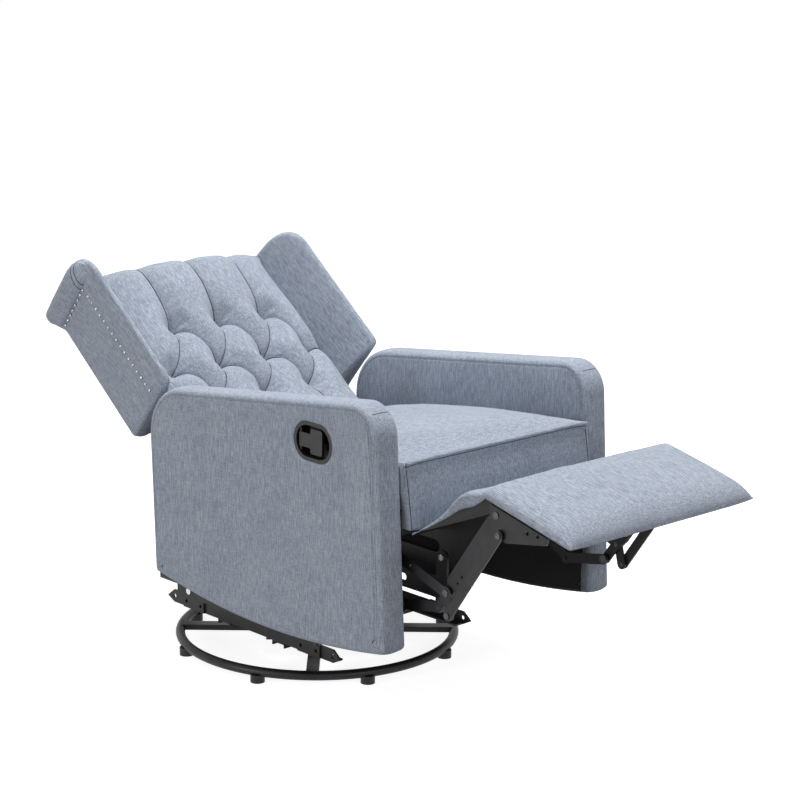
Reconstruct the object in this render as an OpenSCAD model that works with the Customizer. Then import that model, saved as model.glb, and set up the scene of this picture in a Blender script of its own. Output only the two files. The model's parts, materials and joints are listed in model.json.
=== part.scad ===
// Swivel glider recliner, shown reclined with its footrest out.
// +Z is up, the sitter faces -Y and the origin is on the floor under the middle of the whole chair.
// Side outlines are drawn as [y, z] from the plane of the arms' front feet, then moved by front_y.

/* [Overall] */
// Width over the two arms
chair_w = 635; // [580:1:720]
// Depth of an arm at its foot
arm_depth = 711; // [660:1:780]
// Lean of the back at full recline, above the horizontal
back_angle = 38.5; // [32:0.5:44]
// Turn of the floor ring's cross against the seat
base_turn = -43; // [-90:1:90]

/* [Arms] */
// Thickness of an arm
arm_t = 61.5; // [50:0.5:64]
// Height of the arm's lower edge at its ends
arm_foot_z = 181; // [170:1:200]
// Rise of the arm's curved lower edge at its middle
arm_arch = 34; // [15:1:45]
// Height of the arm at its front
arm_front_z = 662; // [640:1:690]
// Height of the arm at its rear
arm_rear_z = 576; // [560:1:610]
// Lean of the arm's front edge
arm_front_lean = 29; // [10:1:40]
// Lean of the arm's rear edge
arm_rear_lean = 18; // [5:1:25]
// Radius of the arm's front top corner
arm_front_r = 64; // [40:1:75]
// Radius of the arm's rear top corner
arm_rear_r = 112; // [60:1:125]
// Rounding of the arm's long edges
arm_edge_r = 9; // [5:0.5:14]

/* [Seat] */
// Height of the seat's welt at the front
seat_front_z = 546; // [530:1:560]
// Fall of the seat from front to rear
seat_fall = 57; // [30:1:70]
// Depth of the seat cushion
seat_depth = 508; // [480:1:512]
// Crown of the seat cushion
seat_crown = 38; // [20:1:50]
// Lower edge of the seat's front face
seat_skirt_z = 412; // [408:1:425]
// Lean of the seat's front face
seat_front_lean = 20; // [10:1:26]
// Thickness of the seat's wooden rails
rail_t = 24; // [18:1:26]
// Height of the seat's wooden rails
rail_h = 48; // [40:1:50]
// Underside of the seat's wooden rails
deck_z = 400; // [395:1:404]

/* [Back] */
// Height of the recline pivot
recline_z = 385; // [375:1:390]
// Distance of the recline pivot behind the arm fronts
recline_inset = 181; // [175:1:186]
// Length of the back from the pivot to its top
back_len = 624; // [600:1:660]
// Length from the pivot to the lower end of the wings
wing_low = 254; // [245:1:280]
// Reach of the wings in front of the pivot line
wing_out = 65; // [50:1:75]
// Depth of the outer back behind the pivot line
back_face = 127; // [118:1:135]
// Extra reach of the rolled top behind the outer back
roll_out = 33; // [20:1:40]
// Height of the rolled top
roll_h = 58; // [48:1:66]
// Thickness of a wing
wing_t = 48; // [40:1:52]
// Thickness of a wing at its front edge
wing_front_t = 11; // [8:1:30]
// Distance between neighbouring tufts across the back
tuft_pitch_x = 125; // [110:1:130]
// Distance between tuft rows along the back
tuft_pitch_y = 110; // [100:1:118]
// Length from the pivot to the top row of tufts
tuft_top = 458; // [445:1:470]
// Depth of the tufts below the cushion's crowns
tuft_depth = 44; // [20:1:55]
// Reach of the head cushion in front of the pivot line
head_out = 28; // [16:1:62]
// Fall of the head cushion from its middle to its sides
head_arch = 34; // [0:1:50]

/* [Footrest] */
// Length of the footrest pad
pad_len = 226; // [200:1:230]
// Thickness of the footrest pad at its edges
pad_edge_t = 28; // [22:1:32]
// Crown of the footrest pad
pad_crown = 14; // [6:1:16]
// Gap between a soft side and an arm
soft_gap = 2.5; // [2:0.1:5]

/* [Mechanism] */
// Thickness of the pressed links
link_t = 4; // [3:0.1:4.5]
// Side gap between neighbouring links
link_gap = 2; // [1.5:0.1:2.5]
// Width of the knee arm and the guide links
link_w = 22; // [18:0.5:24]
// Width of the long channel link
channel_w = 34; // [28:1:36]
// Radius of a pivot rivet
rivet_r = 5; // [4:0.1:5.5]
// Radius of the drive tube
drive_r = 9; // [8:0.5:11]
// Distance between the hanging links along the seat
glide_base = 380; // [340:1:400]
// Length of a hanging link between its pivots
glide_link = 85; // [75:1:95]

/* [Floor ring] */
// Radius of the floor ring's centre line
ring_r = 295; // [270:1:320]
// Radius of the floor ring's tube
tube_r = 10; // [8:0.5:12]
// Height of a glide pad
pad_h = 12; // [8:0.5:14]
// Distance of the ring's centre behind the arm fronts
ring_y = 554; // [540:1:570]

/* [Hidden] */
$fn = 48;

// Colours
fabric = [0.55, 0.59, 0.65];
fabric_dark = [0.43, 0.47, 0.53];
steel = [0.10, 0.10, 0.11];
bright = [0.72, 0.73, 0.75];
plastic = [0.08, 0.08, 0.09];
timber = [0.72, 0.58, 0.40];
cloth = [0.12, 0.12, 0.14];

// Clearances, overruns and small stock sizes
cut = 1;
run_gap = 0.05;
loose_gap = 3.5;
face_gap = 0.3;
plate_t = 4;
head_t = 2;
thin_t = 1.4;
head_r = rivet_r + 3;
stud_r = rivet_r - 1;
drive_stub_r = drive_r - 3;

// Sides across the chair
recline_y = arm_depth - recline_inset;
half_w = chair_w / 2;
inner_x = half_w - arm_t;
soft_x = inner_x - soft_gap;
layer = link_t + link_gap;
side_x = inner_x - 2 * layer;
knee_x = side_x - layer;
channel_x = knee_x - layer;
guide_x = channel_x - layer;

// Floor ring and swivel heights
ring_z = pad_h + tube_r;
cross_h = 12;
cross_w = 26;
cross_top = ring_z + tube_r;
plate_low_t = 4;
bearing_h = 8;
bearing_in = 58;
bearing_out = 74;
swivel_half = 105;
plate_up_z = cross_top + plate_low_t + bearing_h;
crossbar_h = 10;
crossbar_w = 40;
crossbar_z = plate_up_z + plate_low_t;
crossbar_y = 90;
bolt_r = 8;

// Glider
rail_z = crossbar_z + crossbar_h;
rail_len = 570;
rail_lip = 28;
rail_flange = 26;
hanger_x = side_x - 58;
hanger_top = rail_z + 130;
hanger_low = hanger_top - glide_link;
hanger_pin_r = 5;
hanger_w = 26;
ear_w = 34;
carrier_x = hanger_x + plate_t + link_gap + layer;
carrier_low = hanger_low - 14;
carrier_h = 46;
carrier_len = 460;
carrier_flange_t = 4;

// Footrest linkage, with the footrest out: pivots as [y, z]
knee_root = [119, 376.3];
knee = [-88, 312];
foot_pivot = [-216, 490];
foot_angle = 13.5;
guide_root = [138, 317];
guide_elbow = [40, 256];
tail_len = 45;
channel_dir = (foot_pivot - knee) / norm(foot_pivot - knee);
tail = knee - tail_len * channel_dir;
crank = [-99, 271];
upper_end = [-228, 456];

// Footrest pad, from the foot pivot: along the pad towards the seat, and up from it
pad_rear = 29;
pad_low = 26;
board_t = 10;
board_inset = 16;
flange_t = 3;

// Back, from the recline pivot: along the back, and out towards the sitter
wing_x = inner_x - 9;
cushion_x = wing_x - face_gap;
frame_x = wing_x;
frame_t = 30;
frame_low = 62;
panel_t = 6;
top_r = 60;
roll_r = 24;
roll_rise = 14;
cushion_low = 20;
cushion_low_out = 28;
cushion_mid_out = 12;
cushion_side_out = -50;
cushion_back = -back_face + panel_t + frame_t + face_gap;
roll_low = back_len - roll_h + 6;

// Recline bracket
bracket_w = 30;
bracket_x = inner_x - 2 - link_t;

// Lever
lever_y = 203;
lever_z = 558;
lever_w = 112;
lever_h = 78;
lever_lip = 5;
lever_depth = 26;
lever_wall = 2.5;
paddle_t = 6;
paddle_w = 34;
paddle_h = 50;
stem_w = 30;
stem_h = 28;
lever_pin_r = 2.5;

// Nailheads
nail_r = 4.2;
nail_band = 68;
nail_inset = 28;
nail_row = 8;
nail_column = 16;
roll_start = 12;
roll_bulge = 5;
nail_edge = 15;

// Where the chair's front plane lies, so that the origin is under the middle of the chair
function back_point(p) = [recline_y, recline_z]
    + [p[0] * cos(back_angle) - p[1] * sin(back_angle), p[0] * sin(back_angle) + p[1] * cos(back_angle)];
rear_reach = back_point([back_len + roll_rise - roll_r, roll_r - back_face - roll_out])[0] + roll_r;
pad_tip_r = pad_edge_t / 2;
front_reach = foot_pivot[0] - (pad_len - pad_rear - pad_tip_r) * cos(foot_angle)
    - (pad_low + pad_tip_r) * sin(foot_angle) - pad_tip_r;
front_y = -(rear_reach + front_reach) / 2;

// Functions for outlines
function unit(v) = v / norm(v);
function flat(lists) = [for (l = lists) each l];
function mix(a, b, s) = a + (b - a) * s;
function smooth(s) = let (t = min(1, max(0, s))) t * t * (3 - 2 * t);
function turn_between(a, b) = (b - a + 540) % 360 - 180;
function corner_arc(before, at, after, r) =
    let (
        u = unit(before - at),
        v = unit(after - at),
        half = acos(max(-1, min(1, u * v))) / 2,
        centre = at + unit(u + v) * r / sin(half),
        p = at + u * r / tan(half) - centre,
        q = at + v * r / tan(half) - centre,
        start = atan2(p[1], p[0]),
        sweep = turn_between(start, atan2(q[1], q[0])),
        steps = ceil(abs(sweep) / 14)
    )
    [for (i = [0:steps]) centre + r * [cos(start + sweep * i / steps), sin(start + sweep * i / steps)]];
// Corners are [y, z, radius]
function rounded(corners) =
    let (n = len(corners), at = [for (c = corners) [c[0], c[1]]])
    flat([for (i = [0:n - 1])
        corners[i][2] == 0 ? [at[i]] : corner_arc(at[(i + n - 1) % n], at[i], at[(i + 1) % n], corners[i][2])]);
function inset(outline, e) =
    let (n = len(outline))
    [for (i = [0:n - 1])
        let (t = unit(outline[(i + 1) % n] - outline[(i + n - 1) % n])) outline[i] + e * [-t[1], t[0]]];

// Moves what is drawn from the arm fronts to the part's own frame
module placed() {
    translate([0, front_y, 0]) children();
}

// Stands a side outline up, from x = low across by depth
module across(low, depth) {
    translate([low, 0, 0]) rotate([90, 0, 90]) linear_extrude(depth) children();
}

// The same plate on the left (+X) or the right (-X) side, drawn from its inner face outwards
module on_side(side, inner, depth) {
    across(side > 0 ? inner : -inner - depth, depth) children();
}

module in_back() {
    translate([recline_y, recline_z]) rotate(back_angle) children();
}

module in_footrest() {
    translate(foot_pivot) rotate(foot_angle) children();
}

// Straight link blank with round ends
module bar(p, q, w) {
    turn = atan2(q[1] - p[1], q[0] - p[0]);
    steps = 12;
    polygon([for (end = [0, 1]) for (i = [0:steps])
        let (a = turn - 90 + 180 * (end + i / steps))
        (end == 0 ? q : p) + w / 2 * [cos(a), sin(a)]]);
}

module pin(at, r, low, high) {
    translate([low, at[0], at[1]]) rotate([0, 90, 0]) cylinder(r = r, h = high - low);
}

module side_pin(side, at, r, low, high) {
    pin(at, r, side > 0 ? low : -high, side > 0 ? high : -low);
}

// A ring of points closed by triangles round one of them, from which the whole ring is seen
function cap(m, start, hub, flip) = [for (j = [1:m - 2])
    let (a = start + (hub + j) % m, b = start + (hub + j + 1) % m) flip ? [start + hub, b, a] : [start + hub, a, b]];

// Closed soft form through rings of points, drawn along +X
module loft(rings) {
    n = len(rings);
    m = len(rings[0]);
    walls = [for (i = [0:n - 2]) for (j = [0:m - 1])
        let (a = i * m + j, b = i * m + (j + 1) % m) each [[a, a + m, b], [b, a + m, b + m]]];
    polyhedron(points = flat(rings), faces = concat(walls, cap(m, 0, 0, false), cap(m, (n - 1) * m, 0, true)));
}

// Padded slab: an outline with rounded long edges, from x = low across by depth
module slab(outline, low, depth, edge) {
    stations = [[0, 1], [0.12, 0.52], [0.35, 0.18], [1, 0]];
    near = [for (s = stations) [low + s[0] * edge, s[1] * edge]];
    far = [for (i = [len(stations) - 1:-1:0]) [low + depth - stations[i][0] * edge, stations[i][1] * edge]];
    loft([for (s = concat(near, far)) [for (p = inset(outline, s[1])) [s[0], p[0], p[1]]]]);
}

// Floor ring and swivel
module ring_solid() {
    translate([0, ring_y, ring_z]) rotate_extrude($fn = 96) translate([ring_r, 0]) circle(r = tube_r);
}

module base_ring() {
    color(steel) placed() ring_solid();
}

module base_cross() {
    color(steel) placed() difference() {
        translate([0, ring_y, cross_top - cross_h / 2]) rotate(base_turn) {
            cube([2 * ring_r, cross_w, cross_h], center = true);
            cube([cross_w, 2 * ring_r, cross_h], center = true);
        }
        ring_solid();
        translate([0, ring_y, 0]) cylinder(r = bolt_r, h = cross_top + cut);
    }
}

module floor_glides() {
    glide_r = 15;
    color(plastic) placed() translate([0, ring_y, 0]) for (i = [0:7]) {
        rotate(base_turn + 22.5 + 45 * i) translate([ring_r, 0, 0]) difference() {
            cylinder(r = glide_r, h = pad_h + tube_r / 2);
            translate([-ring_r, 0, ring_z]) rotate_extrude($fn = 96) translate([ring_r, 0]) circle(r = tube_r);
        }
    }
}

module swivel_plate_lower() {
    color(steel) placed() translate([0, ring_y, cross_top]) rotate(base_turn) difference() {
        translate([-swivel_half, -swivel_half, 0]) cube([2 * swivel_half, 2 * swivel_half, plate_low_t]);
        translate([0, 0, -cut]) cylinder(r = bolt_r, h = plate_low_t + 2 * cut);
    }
}

module swivel_bearing() {
    color(bright) placed() translate([0, ring_y, cross_top + plate_low_t]) difference() {
        cylinder(r = bearing_out, h = bearing_h - face_gap);
        translate([0, 0, -cut]) cylinder(r = bearing_in, h = bearing_h + 2 * cut);
    }
}

module swivel_bolt() {
    bolt_head_r = 14;
    bolt_head_h = 6;
    color(bright) placed() translate([0, ring_y, 0]) {
        translate([0, 0, cross_top - cross_h - bolt_head_h]) cylinder(r = bolt_head_r, h = bolt_head_h, $fn = 6);
        translate([0, 0, cross_top - cross_h]) cylinder(r = bolt_r, h = crossbar_z - cross_top + cross_h + bolt_head_h);
        translate([0, 0, crossbar_z + face_gap]) cylinder(r = bolt_head_r, h = bolt_head_h - face_gap, $fn = 6);
    }
}

module swivel_plate_upper() {
    color(steel) placed() translate([0, ring_y, plate_up_z]) difference() {
        translate([-swivel_half, -swivel_half, 0]) cube([2 * swivel_half, 2 * swivel_half, plate_low_t]);
        translate([0, 0, -cut]) cylinder(r = bolt_r + run_gap, h = plate_low_t + 2 * cut);
    }
}

// Glider frame on the swivel
module glider_crossbars() {
    wall = 3;
    color(steel) placed() for (s = [-1, 1]) translate([0, ring_y + s * crossbar_y, crossbar_z]) difference() {
        translate([-hanger_x, -crossbar_w / 2, 0]) cube([2 * hanger_x, crossbar_w, crossbar_h]);
        translate([-hanger_x - cut, wall - crossbar_w / 2, -cut])
            cube([2 * hanger_x + 2 * cut, crossbar_w - 2 * wall, crossbar_h - wall + cut]);
    }
}

module glider_rail(side) {
    half = rail_len / 2;
    hole_y = half - 24;
    tip = 22;
    color(steel) placed() {
        on_side(side, hanger_x - plate_t, plate_t) difference() {
            polygon([[ring_y - half, rail_z + tip / 2], [ring_y - half + tip, rail_z], [ring_y + half - tip, rail_z],
                [ring_y + half, rail_z + tip / 2], [ring_y + half - tip, rail_z + rail_lip],
                [ring_y - half + tip, rail_z + rail_lip]]);
            for (s = [-1, 1]) translate([ring_y + s * hole_y, rail_z + rail_lip / 2]) circle(r = rivet_r);
        }
        translate([side > 0 ? hanger_x - rail_flange : -hanger_x, ring_y - half + tip, rail_z])
            cube([rail_flange, rail_len - 2 * tip, plate_t]);
    }
}

// Upright brackets on the rails that carry the hanging links
module hanger_brackets() {
    foot_w = 70;
    rivet_off = 24;
    color(steel) placed() for (side = [-1, 1]) for (s = [-1, 1])
        on_side(side, hanger_x, plate_t) translate([ring_y + s * glide_base / 2, 0]) difference() {
            union() {
                bar([0, rail_z + ear_w / 2], [0, hanger_top], ear_w);
                translate([-foot_w / 2, rail_z]) square([foot_w, rail_lip]);
            }
            translate([0, hanger_top]) circle(r = hanger_pin_r);
            for (e = [-1, 1]) translate([e * rivet_off, rail_z + rail_lip / 2]) circle(r = rivet_r - 1);
        }
}

module glider_rail_left() {
    glider_rail(1);
}

module glider_rail_right() {
    glider_rail(-1);
}

module hanger_pins() {
    color(bright) placed() for (side = [-1, 1]) for (s = [-1, 1]) {
        at = [ring_y + s * glide_base / 2, hanger_top];
        side_pin(side, at, hanger_pin_r, hanger_x, hanger_x + plate_t + layer + head_t);
        side_pin(side, at, hanger_pin_r + head_t, hanger_x + plate_t + layer + face_gap,
            hanger_x + plate_t + layer + head_t);
        side_pin(side, at, hanger_pin_r + head_t, hanger_x - head_t, hanger_x);
    }
}

module hanging_links(s) {
    color(steel) placed() for (side = [-1, 1]) on_side(side, hanger_x + plate_t + link_gap, link_t) difference() {
        bar([ring_y + s * glide_base / 2, hanger_top], [ring_y + s * glide_base / 2, hanger_low], hanger_w);
        for (z = [hanger_top, hanger_low])
            translate([ring_y + s * glide_base / 2, z]) circle(r = hanger_pin_r + run_gap);
    }
}

module front_hanging_links() {
    hanging_links(-1);
}

module rear_hanging_links() {
    hanging_links(1);
}

// Carriage that hangs on the links
module carrier_rail(side) {
    half = carrier_len / 2;
    slot_len = 120;
    slot_w = 16;
    color(steel) placed() {
        on_side(side, carrier_x, plate_t) difference() {
            translate([ring_y - half, carrier_low]) square([carrier_len, carrier_h]);
            for (s = [-1, 1]) translate([ring_y + s * glide_base / 2, hanger_low]) circle(r = hanger_pin_r);
            bar([ring_y - slot_len / 2, carrier_low + carrier_h / 2],
                [ring_y + slot_len / 2, carrier_low + carrier_h / 2], slot_w);
        }
        translate([side > 0 ? carrier_x : -side_x, ring_y - half, carrier_low + carrier_h])
            cube([side_x - carrier_x, carrier_len, carrier_flange_t]);
    }
}

module carrier_rail_left() {
    carrier_rail(1);
}

module carrier_rail_right() {
    carrier_rail(-1);
}

module carrier_pins() {
    link_in = hanger_x + plate_t + link_gap;
    color(bright) placed() for (side = [-1, 1]) for (s = [-1, 1]) {
        at = [ring_y + s * glide_base / 2, hanger_low];
        side_pin(side, at, hanger_pin_r, link_in - thin_t, carrier_x + plate_t);
        side_pin(side, at, hanger_pin_r + head_t, link_in - thin_t, link_in - face_gap);
        side_pin(side, at, hanger_pin_r + head_t, carrier_x + plate_t, carrier_x + plate_t + head_t);
    }
}

module side_plate(side) {
    foot_z = carrier_low + carrier_h;
    half = carrier_len / 2;
    front = knee_root[0] - 22;
    rear = recline_y + 26;
    corner = 10;
    fillet = 30;
    window = 28;
    nose = guide_root[0] - 14;
    outline = rounded([
        [front, deck_z, 0], [front, knee_root[1] - 18, corner], [nose, guide_root[1] + 20, corner],
        [nose, guide_root[1] - 14, corner], [nose + 28, guide_root[1] - 22, corner],
        [guide_root[0] + 90, guide_root[1] - 50, fillet], [ring_y - half, foot_z + 60, fillet],
        [ring_y - half, foot_z, 0], [ring_y + half, foot_z, 0], [ring_y + half, foot_z + 30, corner],
        [rear + 30, recline_z - 110, fillet], [rear, recline_z - 30, fillet], [rear, deck_z, corner]]);
    color(steel) placed() {
        on_side(side, side_x, link_t) difference() {
            polygon(outline);
            translate(knee_root) circle(r = drive_stub_r + run_gap);
            translate(guide_root) circle(r = rivet_r);
            translate([recline_y, recline_z]) circle(r = rivet_r + 1 + run_gap);
            bar([ring_y - 110, foot_z + 50], [ring_y + 130, foot_z + 50], window);
            bar([280, deck_z - 50], [430, deck_z - 50], window);
            bar([330, deck_z - 110], [450, deck_z - 110], window);
        }
        translate([side > 0 ? side_x - rail_t / 2 : -side_x, front, deck_z - link_t])
            cube([rail_t / 2, rear - front - corner, link_t]);
    }
}

module side_plate_left() {
    side_plate(1);
}

module side_plate_right() {
    side_plate(-1);
}

module side_plate_stretcher() {
    stretcher_r = 11;
    stretcher_wall = 2;
    at = [recline_y - 90, recline_z - 150];
    color(steel) placed() difference() {
        pin(at, stretcher_r, -side_x, side_x);
        pin(at, stretcher_r - stretcher_wall, -side_x - cut, side_x + cut);
    }
}

// Rivets that carry the guide links on the side plates
module pivot_rivets() {
    color(bright) placed() for (side = [-1, 1]) {
        side_pin(side, guide_root, rivet_r, guide_x - head_t, side_x + link_t);
        side_pin(side, guide_root, head_r, side_x + link_t, side_x + link_t + head_t);
        side_pin(side, guide_root, head_r, guide_x - head_t, guide_x - face_gap);
    }
}

// Seat
module seat_rail(side) {
    front = rail_t + 4;
    rear = recline_y - 40;
    color(timber) placed() translate([side > 0 ? inner_x - rail_t : -inner_x, front, deck_z])
        cube([rail_t, rear - front, rail_h]);
}

module seat_rail_left() {
    seat_rail(1);
}

module seat_rail_right() {
    seat_rail(-1);
}

module seat_cross_rails() {
    front = rail_t + 4;
    rear = recline_y - 40 - rail_t;
    color(timber) placed() for (y = [front, rear]) translate([rail_t - inner_x, y, deck_z])
        cube([2 * (inner_x - rail_t), rail_t, rail_h]);
}

// Zigzag springs across the top of the seat frame, front to rear
module seat_springs() {
    wire_r = 1.8;
    loops = 9;
    front = rail_t + 10;
    rear = recline_y - 46;
    pitch = (rear - front) / (loops + 1);
    bend_r = pitch / 2;
    reach = 20;
    color(bright) placed() for (i = [-2:2]) translate([i * 84, 0, deck_z + rail_h + wire_r]) {
        for (k = [0:loops]) {
            side = k % 2 == 0 ? 1 : -1;
            y = front + (k + 0.5) * pitch;
            if (k < loops) translate([side * reach, y + bend_r, 0]) rotate(side > 0 ? -90 : 90)
                rotate_extrude(angle = 180, $fn = 24) translate([bend_r, 0]) circle(r = wire_r, $fn = 16);
            translate([-reach, y, 0]) rotate([0, 90, 0]) cylinder(r = wire_r, h = 2 * reach, $fn = 16);
        }
    }
}

// Seat cushion: its side outline, cut by a crown that follows the seat's fall
module seat_cushion() {
    crown_share = [0, 0.62, 0.83, 0.94, 0.99, 0.99, 0.94, 0.83, 0.66, 0.4];
    face_share = [0, 0.3, 0.7, 1];
    bulge_share = [0, 1, 1, 0.3];
    across_share = [-1, -0.94, -0.84, -0.7, -0.5, -0.25, 0, 0.25, 0.5, 0.7, 0.84, 0.94, 1];
    skirt_t = rail_t - 2;
    seat_low = deck_z + rail_h + 4;
    face_bulge = 5;
    welt_r = 3;
    crown_spare = 7;
    below = 2 * (seat_front_z - seat_skirt_z);
    top_len = seat_depth - seat_front_lean;
    slope = atan(seat_fall / top_len);
    last = len(crown_share) - 1;
    color(fabric) placed() intersection() {
        across(-soft_x, 2 * soft_x) polygon(concat(
            [for (i = [0:3]) [mix(0, seat_front_lean, face_share[i]) - face_bulge * bulge_share[i],
                mix(seat_skirt_z, seat_front_z - welt_r, face_share[i])]],
            [for (i = [0:last]) [seat_front_lean + top_len * i / last,
                seat_front_z - seat_fall * i / last + seat_crown * crown_share[i]]],
            [[seat_depth, seat_low], [skirt_t, seat_low], [skirt_t, seat_skirt_z]]));
        translate([0, seat_front_lean, seat_front_z]) rotate([90 - slope, 0, 0])
            translate([0, 0, -2 * seat_depth]) linear_extrude(3 * seat_depth) polygon(concat(
                [for (u = across_share)
                    [u * (soft_x + cut), (seat_crown + 2 * crown_spare) * (1 - pow(abs(u), 2.6)) - crown_spare]],
                [[soft_x + cut, -below], [-soft_x - cut, -below]]));
    }
}

// Arms
function arm_bottom(s) = [arm_depth * s, arm_foot_z - arm_arch * (1 - pow(2 * s - 1, 2))];

function arm_outline() =
    let (bottom_shares = [0.1, 0.2, 0.3, 0.4, 0.5, 0.6, 0.7, 0.8, 0.9])
    concat(
        [for (s = bottom_shares) arm_bottom(s)],
        rounded_part([
            arm_bottom(1),
            [arm_depth + arm_rear_lean, arm_rear_z],
            [arm_front_lean, arm_front_z],
            arm_bottom(0)], [arm_rear_r, arm_front_r]));

// An open run of corners: the first and the last stay sharp
function rounded_part(at, radii) =
    concat([at[0]], flat([for (i = [1:len(at) - 2]) corner_arc(at[i - 1], at[i], at[i + 1], radii[i - 1])]),
        [at[len(at) - 1]]);

module lever_oval(grow) {
    offset_y = (lever_w - lever_h) / 2;
    bar([lever_y - offset_y, lever_z], [lever_y + offset_y, lever_z], lever_h + 2 * grow);
}

module arm_left() {
    color(fabric) placed() slab(arm_outline(), inner_x, arm_t, arm_edge_r);
}

module arm_right() {
    color(fabric) placed() difference() {
        slab(arm_outline(), -half_w, arm_t, arm_edge_r);
        across(-half_w - cut, lever_depth + cut) lever_oval(-lever_lip);
        across(-half_w - cut, lever_wall + cut) lever_oval(0);
    }
}

// Lever cup, let into the right arm, and its paddle
module lever_housing() {
    color(plastic) placed() difference() {
        union() {
            across(-half_w, lever_wall) lever_oval(0);
            across(-half_w, lever_depth) lever_oval(-lever_lip);
        }
        across(-half_w - cut, lever_depth - lever_wall + cut) lever_oval(-lever_lip - lever_wall);
        pin_hole();
    }
}

paddle_x = -half_w + 3;
pin_reach = 21.5;
pivot_y = lever_y + lever_w / 2 - lever_lip - lever_wall - 8;

module pin_hole() {
    translate([paddle_x + paddle_t / 2, pivot_y, lever_z - pin_reach]) cylinder(r = lever_pin_r, h = 2 * pin_reach);
}

module lever_pin() {
    color(bright) placed() pin_hole();
}

module lever_paddle() {
    color(plastic) placed() difference() {
        union() {
            translate([paddle_x, pivot_y - stem_w, lever_z - stem_h / 2]) cube([paddle_t, stem_w, stem_h]);
            translate([paddle_x + paddle_t / 2, pivot_y, lever_z - stem_h / 2]) cylinder(r = paddle_t / 2 + 1, h = stem_h);
            across(paddle_x, paddle_t) polygon(rounded([
                [pivot_y - stem_w - paddle_w, lever_z - paddle_h / 2, 5], [pivot_y - stem_w, lever_z - paddle_h / 2, 5],
                [pivot_y - stem_w, lever_z + paddle_h / 2, 5], [pivot_y - stem_w - paddle_w, lever_z + paddle_h / 2, 5]]));
        }
        translate([paddle_x + paddle_t / 2, pivot_y, lever_z - lever_h / 2])
            cylinder(r = lever_pin_r + run_gap, h = lever_h);
    }
}

// Footrest linkage
module drive_tube() {
    wall = 2;
    color(steel) placed() {
        difference() {
            pin(knee_root, drive_r, -knee_x, knee_x);
            pin(knee_root, drive_r - wall, plate_t - knee_x, knee_x - plate_t);
        }
        for (side = [-1, 1]) {
            side_pin(side, knee_root, drive_stub_r, knee_x, side_x + link_t + head_t);
            side_pin(side, knee_root, drive_r, side_x + link_t + face_gap, side_x + link_t + head_t);
        }
    }
}

module knee_arm(side) {
    hole_share = 0.55;
    color(steel) placed() on_side(side, knee_x, link_t) difference() {
        union() {
            bar(knee_root, knee, link_w);
            bar(knee, crank, link_w - 2);
            translate(knee_root) circle(r = drive_r + 4);
            translate(knee) circle(r = link_w / 2 + 2);
        }
        translate(knee_root) circle(r = drive_stub_r);
        translate(knee) circle(r = rivet_r + run_gap);
        translate(crank) circle(r = stud_r);
        translate(mix(knee_root, knee, hole_share)) circle(r = rivet_r);
    }
}

module knee_arm_left() {
    knee_arm(1);
}

module knee_arm_right() {
    knee_arm(-1);
}

// Studs on the knee arms that carry the upper links
module knee_rivets() {
    color(bright) placed() for (side = [-1, 1]) {
        side_pin(side, crank, stud_r, knee_x, side_x + link_t + head_t);
        side_pin(side, crank, stud_r + head_t, side_x + link_t + face_gap, side_x + link_t + head_t);
    }
}

module guide_link(side) {
    color(steel) placed() on_side(side, guide_x, link_t) difference() {
        union() {
            bar(guide_root, guide_elbow, link_w);
            bar(guide_elbow, tail, link_w - 1);
            translate(guide_elbow) circle(r = link_w / 2 + 2);
        }
        translate(guide_root) circle(r = rivet_r + run_gap);
        translate(tail) circle(r = stud_r + loose_gap);
        translate(guide_elbow) circle(r = stud_r);
    }
}

module guide_link_left() {
    guide_link(1);
}

module guide_link_right() {
    guide_link(-1);
}

module channel_link(side) {
    lip = 8;
    lip_t = 3;
    small_r = 3;
    row = 7;
    length = norm(foot_pivot - knee);
    turn = atan2(channel_dir[1], channel_dir[0]);
    wide_from_share = 0.12;
    wide_to_share = 0.88;
    lip_from_share = [0.2, 0.08];
    lip_to_share = 0.82;
    hole_shares = [0.16, 0.24];
    color(steel) placed() {
        on_side(side, channel_x, link_t) difference() {
            union() {
                bar(knee, foot_pivot, link_w + 2);
                bar(tail, knee, link_w - 2);
                bar(mix(knee, foot_pivot, wide_from_share), mix(knee, foot_pivot, wide_to_share), channel_w);
            }
            translate(knee) circle(r = rivet_r);
            translate(foot_pivot) circle(r = rivet_r);
            translate(tail) circle(r = stud_r);
            for (s = hole_shares)
                translate(mix(knee, foot_pivot, s) - row * [channel_dir[1], -channel_dir[0]]) circle(r = small_r);
        }
        for (edge = [0, 1]) on_side(side, channel_x - lip, lip)
            translate(knee) rotate(turn)
                translate([length * lip_from_share[edge], edge > 0 ? channel_w / 2 - lip_t : -channel_w / 2])
                    square([length * (lip_to_share - lip_from_share[edge]), lip_t]);
    }
}

module channel_link_left() {
    channel_link(1);
}

module channel_link_right() {
    channel_link(-1);
}

module channel_rivets() {
    slot_head_r = stud_r + loose_gap + 2;
    color(bright) placed() for (side = [-1, 1]) {
        for (at = [knee, foot_pivot]) {
            side_pin(side, at, rivet_r, channel_x, knee_x + link_t + thin_t);
            side_pin(side, at, rivet_r + 2, knee_x + link_t + face_gap, knee_x + link_t + thin_t);
        }
        side_pin(side, tail, stud_r, guide_x - head_t, channel_x + link_t);
        side_pin(side, tail, slot_head_r, guide_x - head_t, guide_x - face_gap);
    }
}

module upper_link(side) {
    color(steel) placed() on_side(side, side_x, link_t) difference() {
        bar(crank, upper_end, link_w - 2);
        translate(crank) circle(r = stud_r + run_gap);
        translate(upper_end) circle(r = stud_r + 1);
    }
}

module upper_link_left() {
    upper_link(1);
}

module upper_link_right() {
    upper_link(-1);
}

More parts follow.
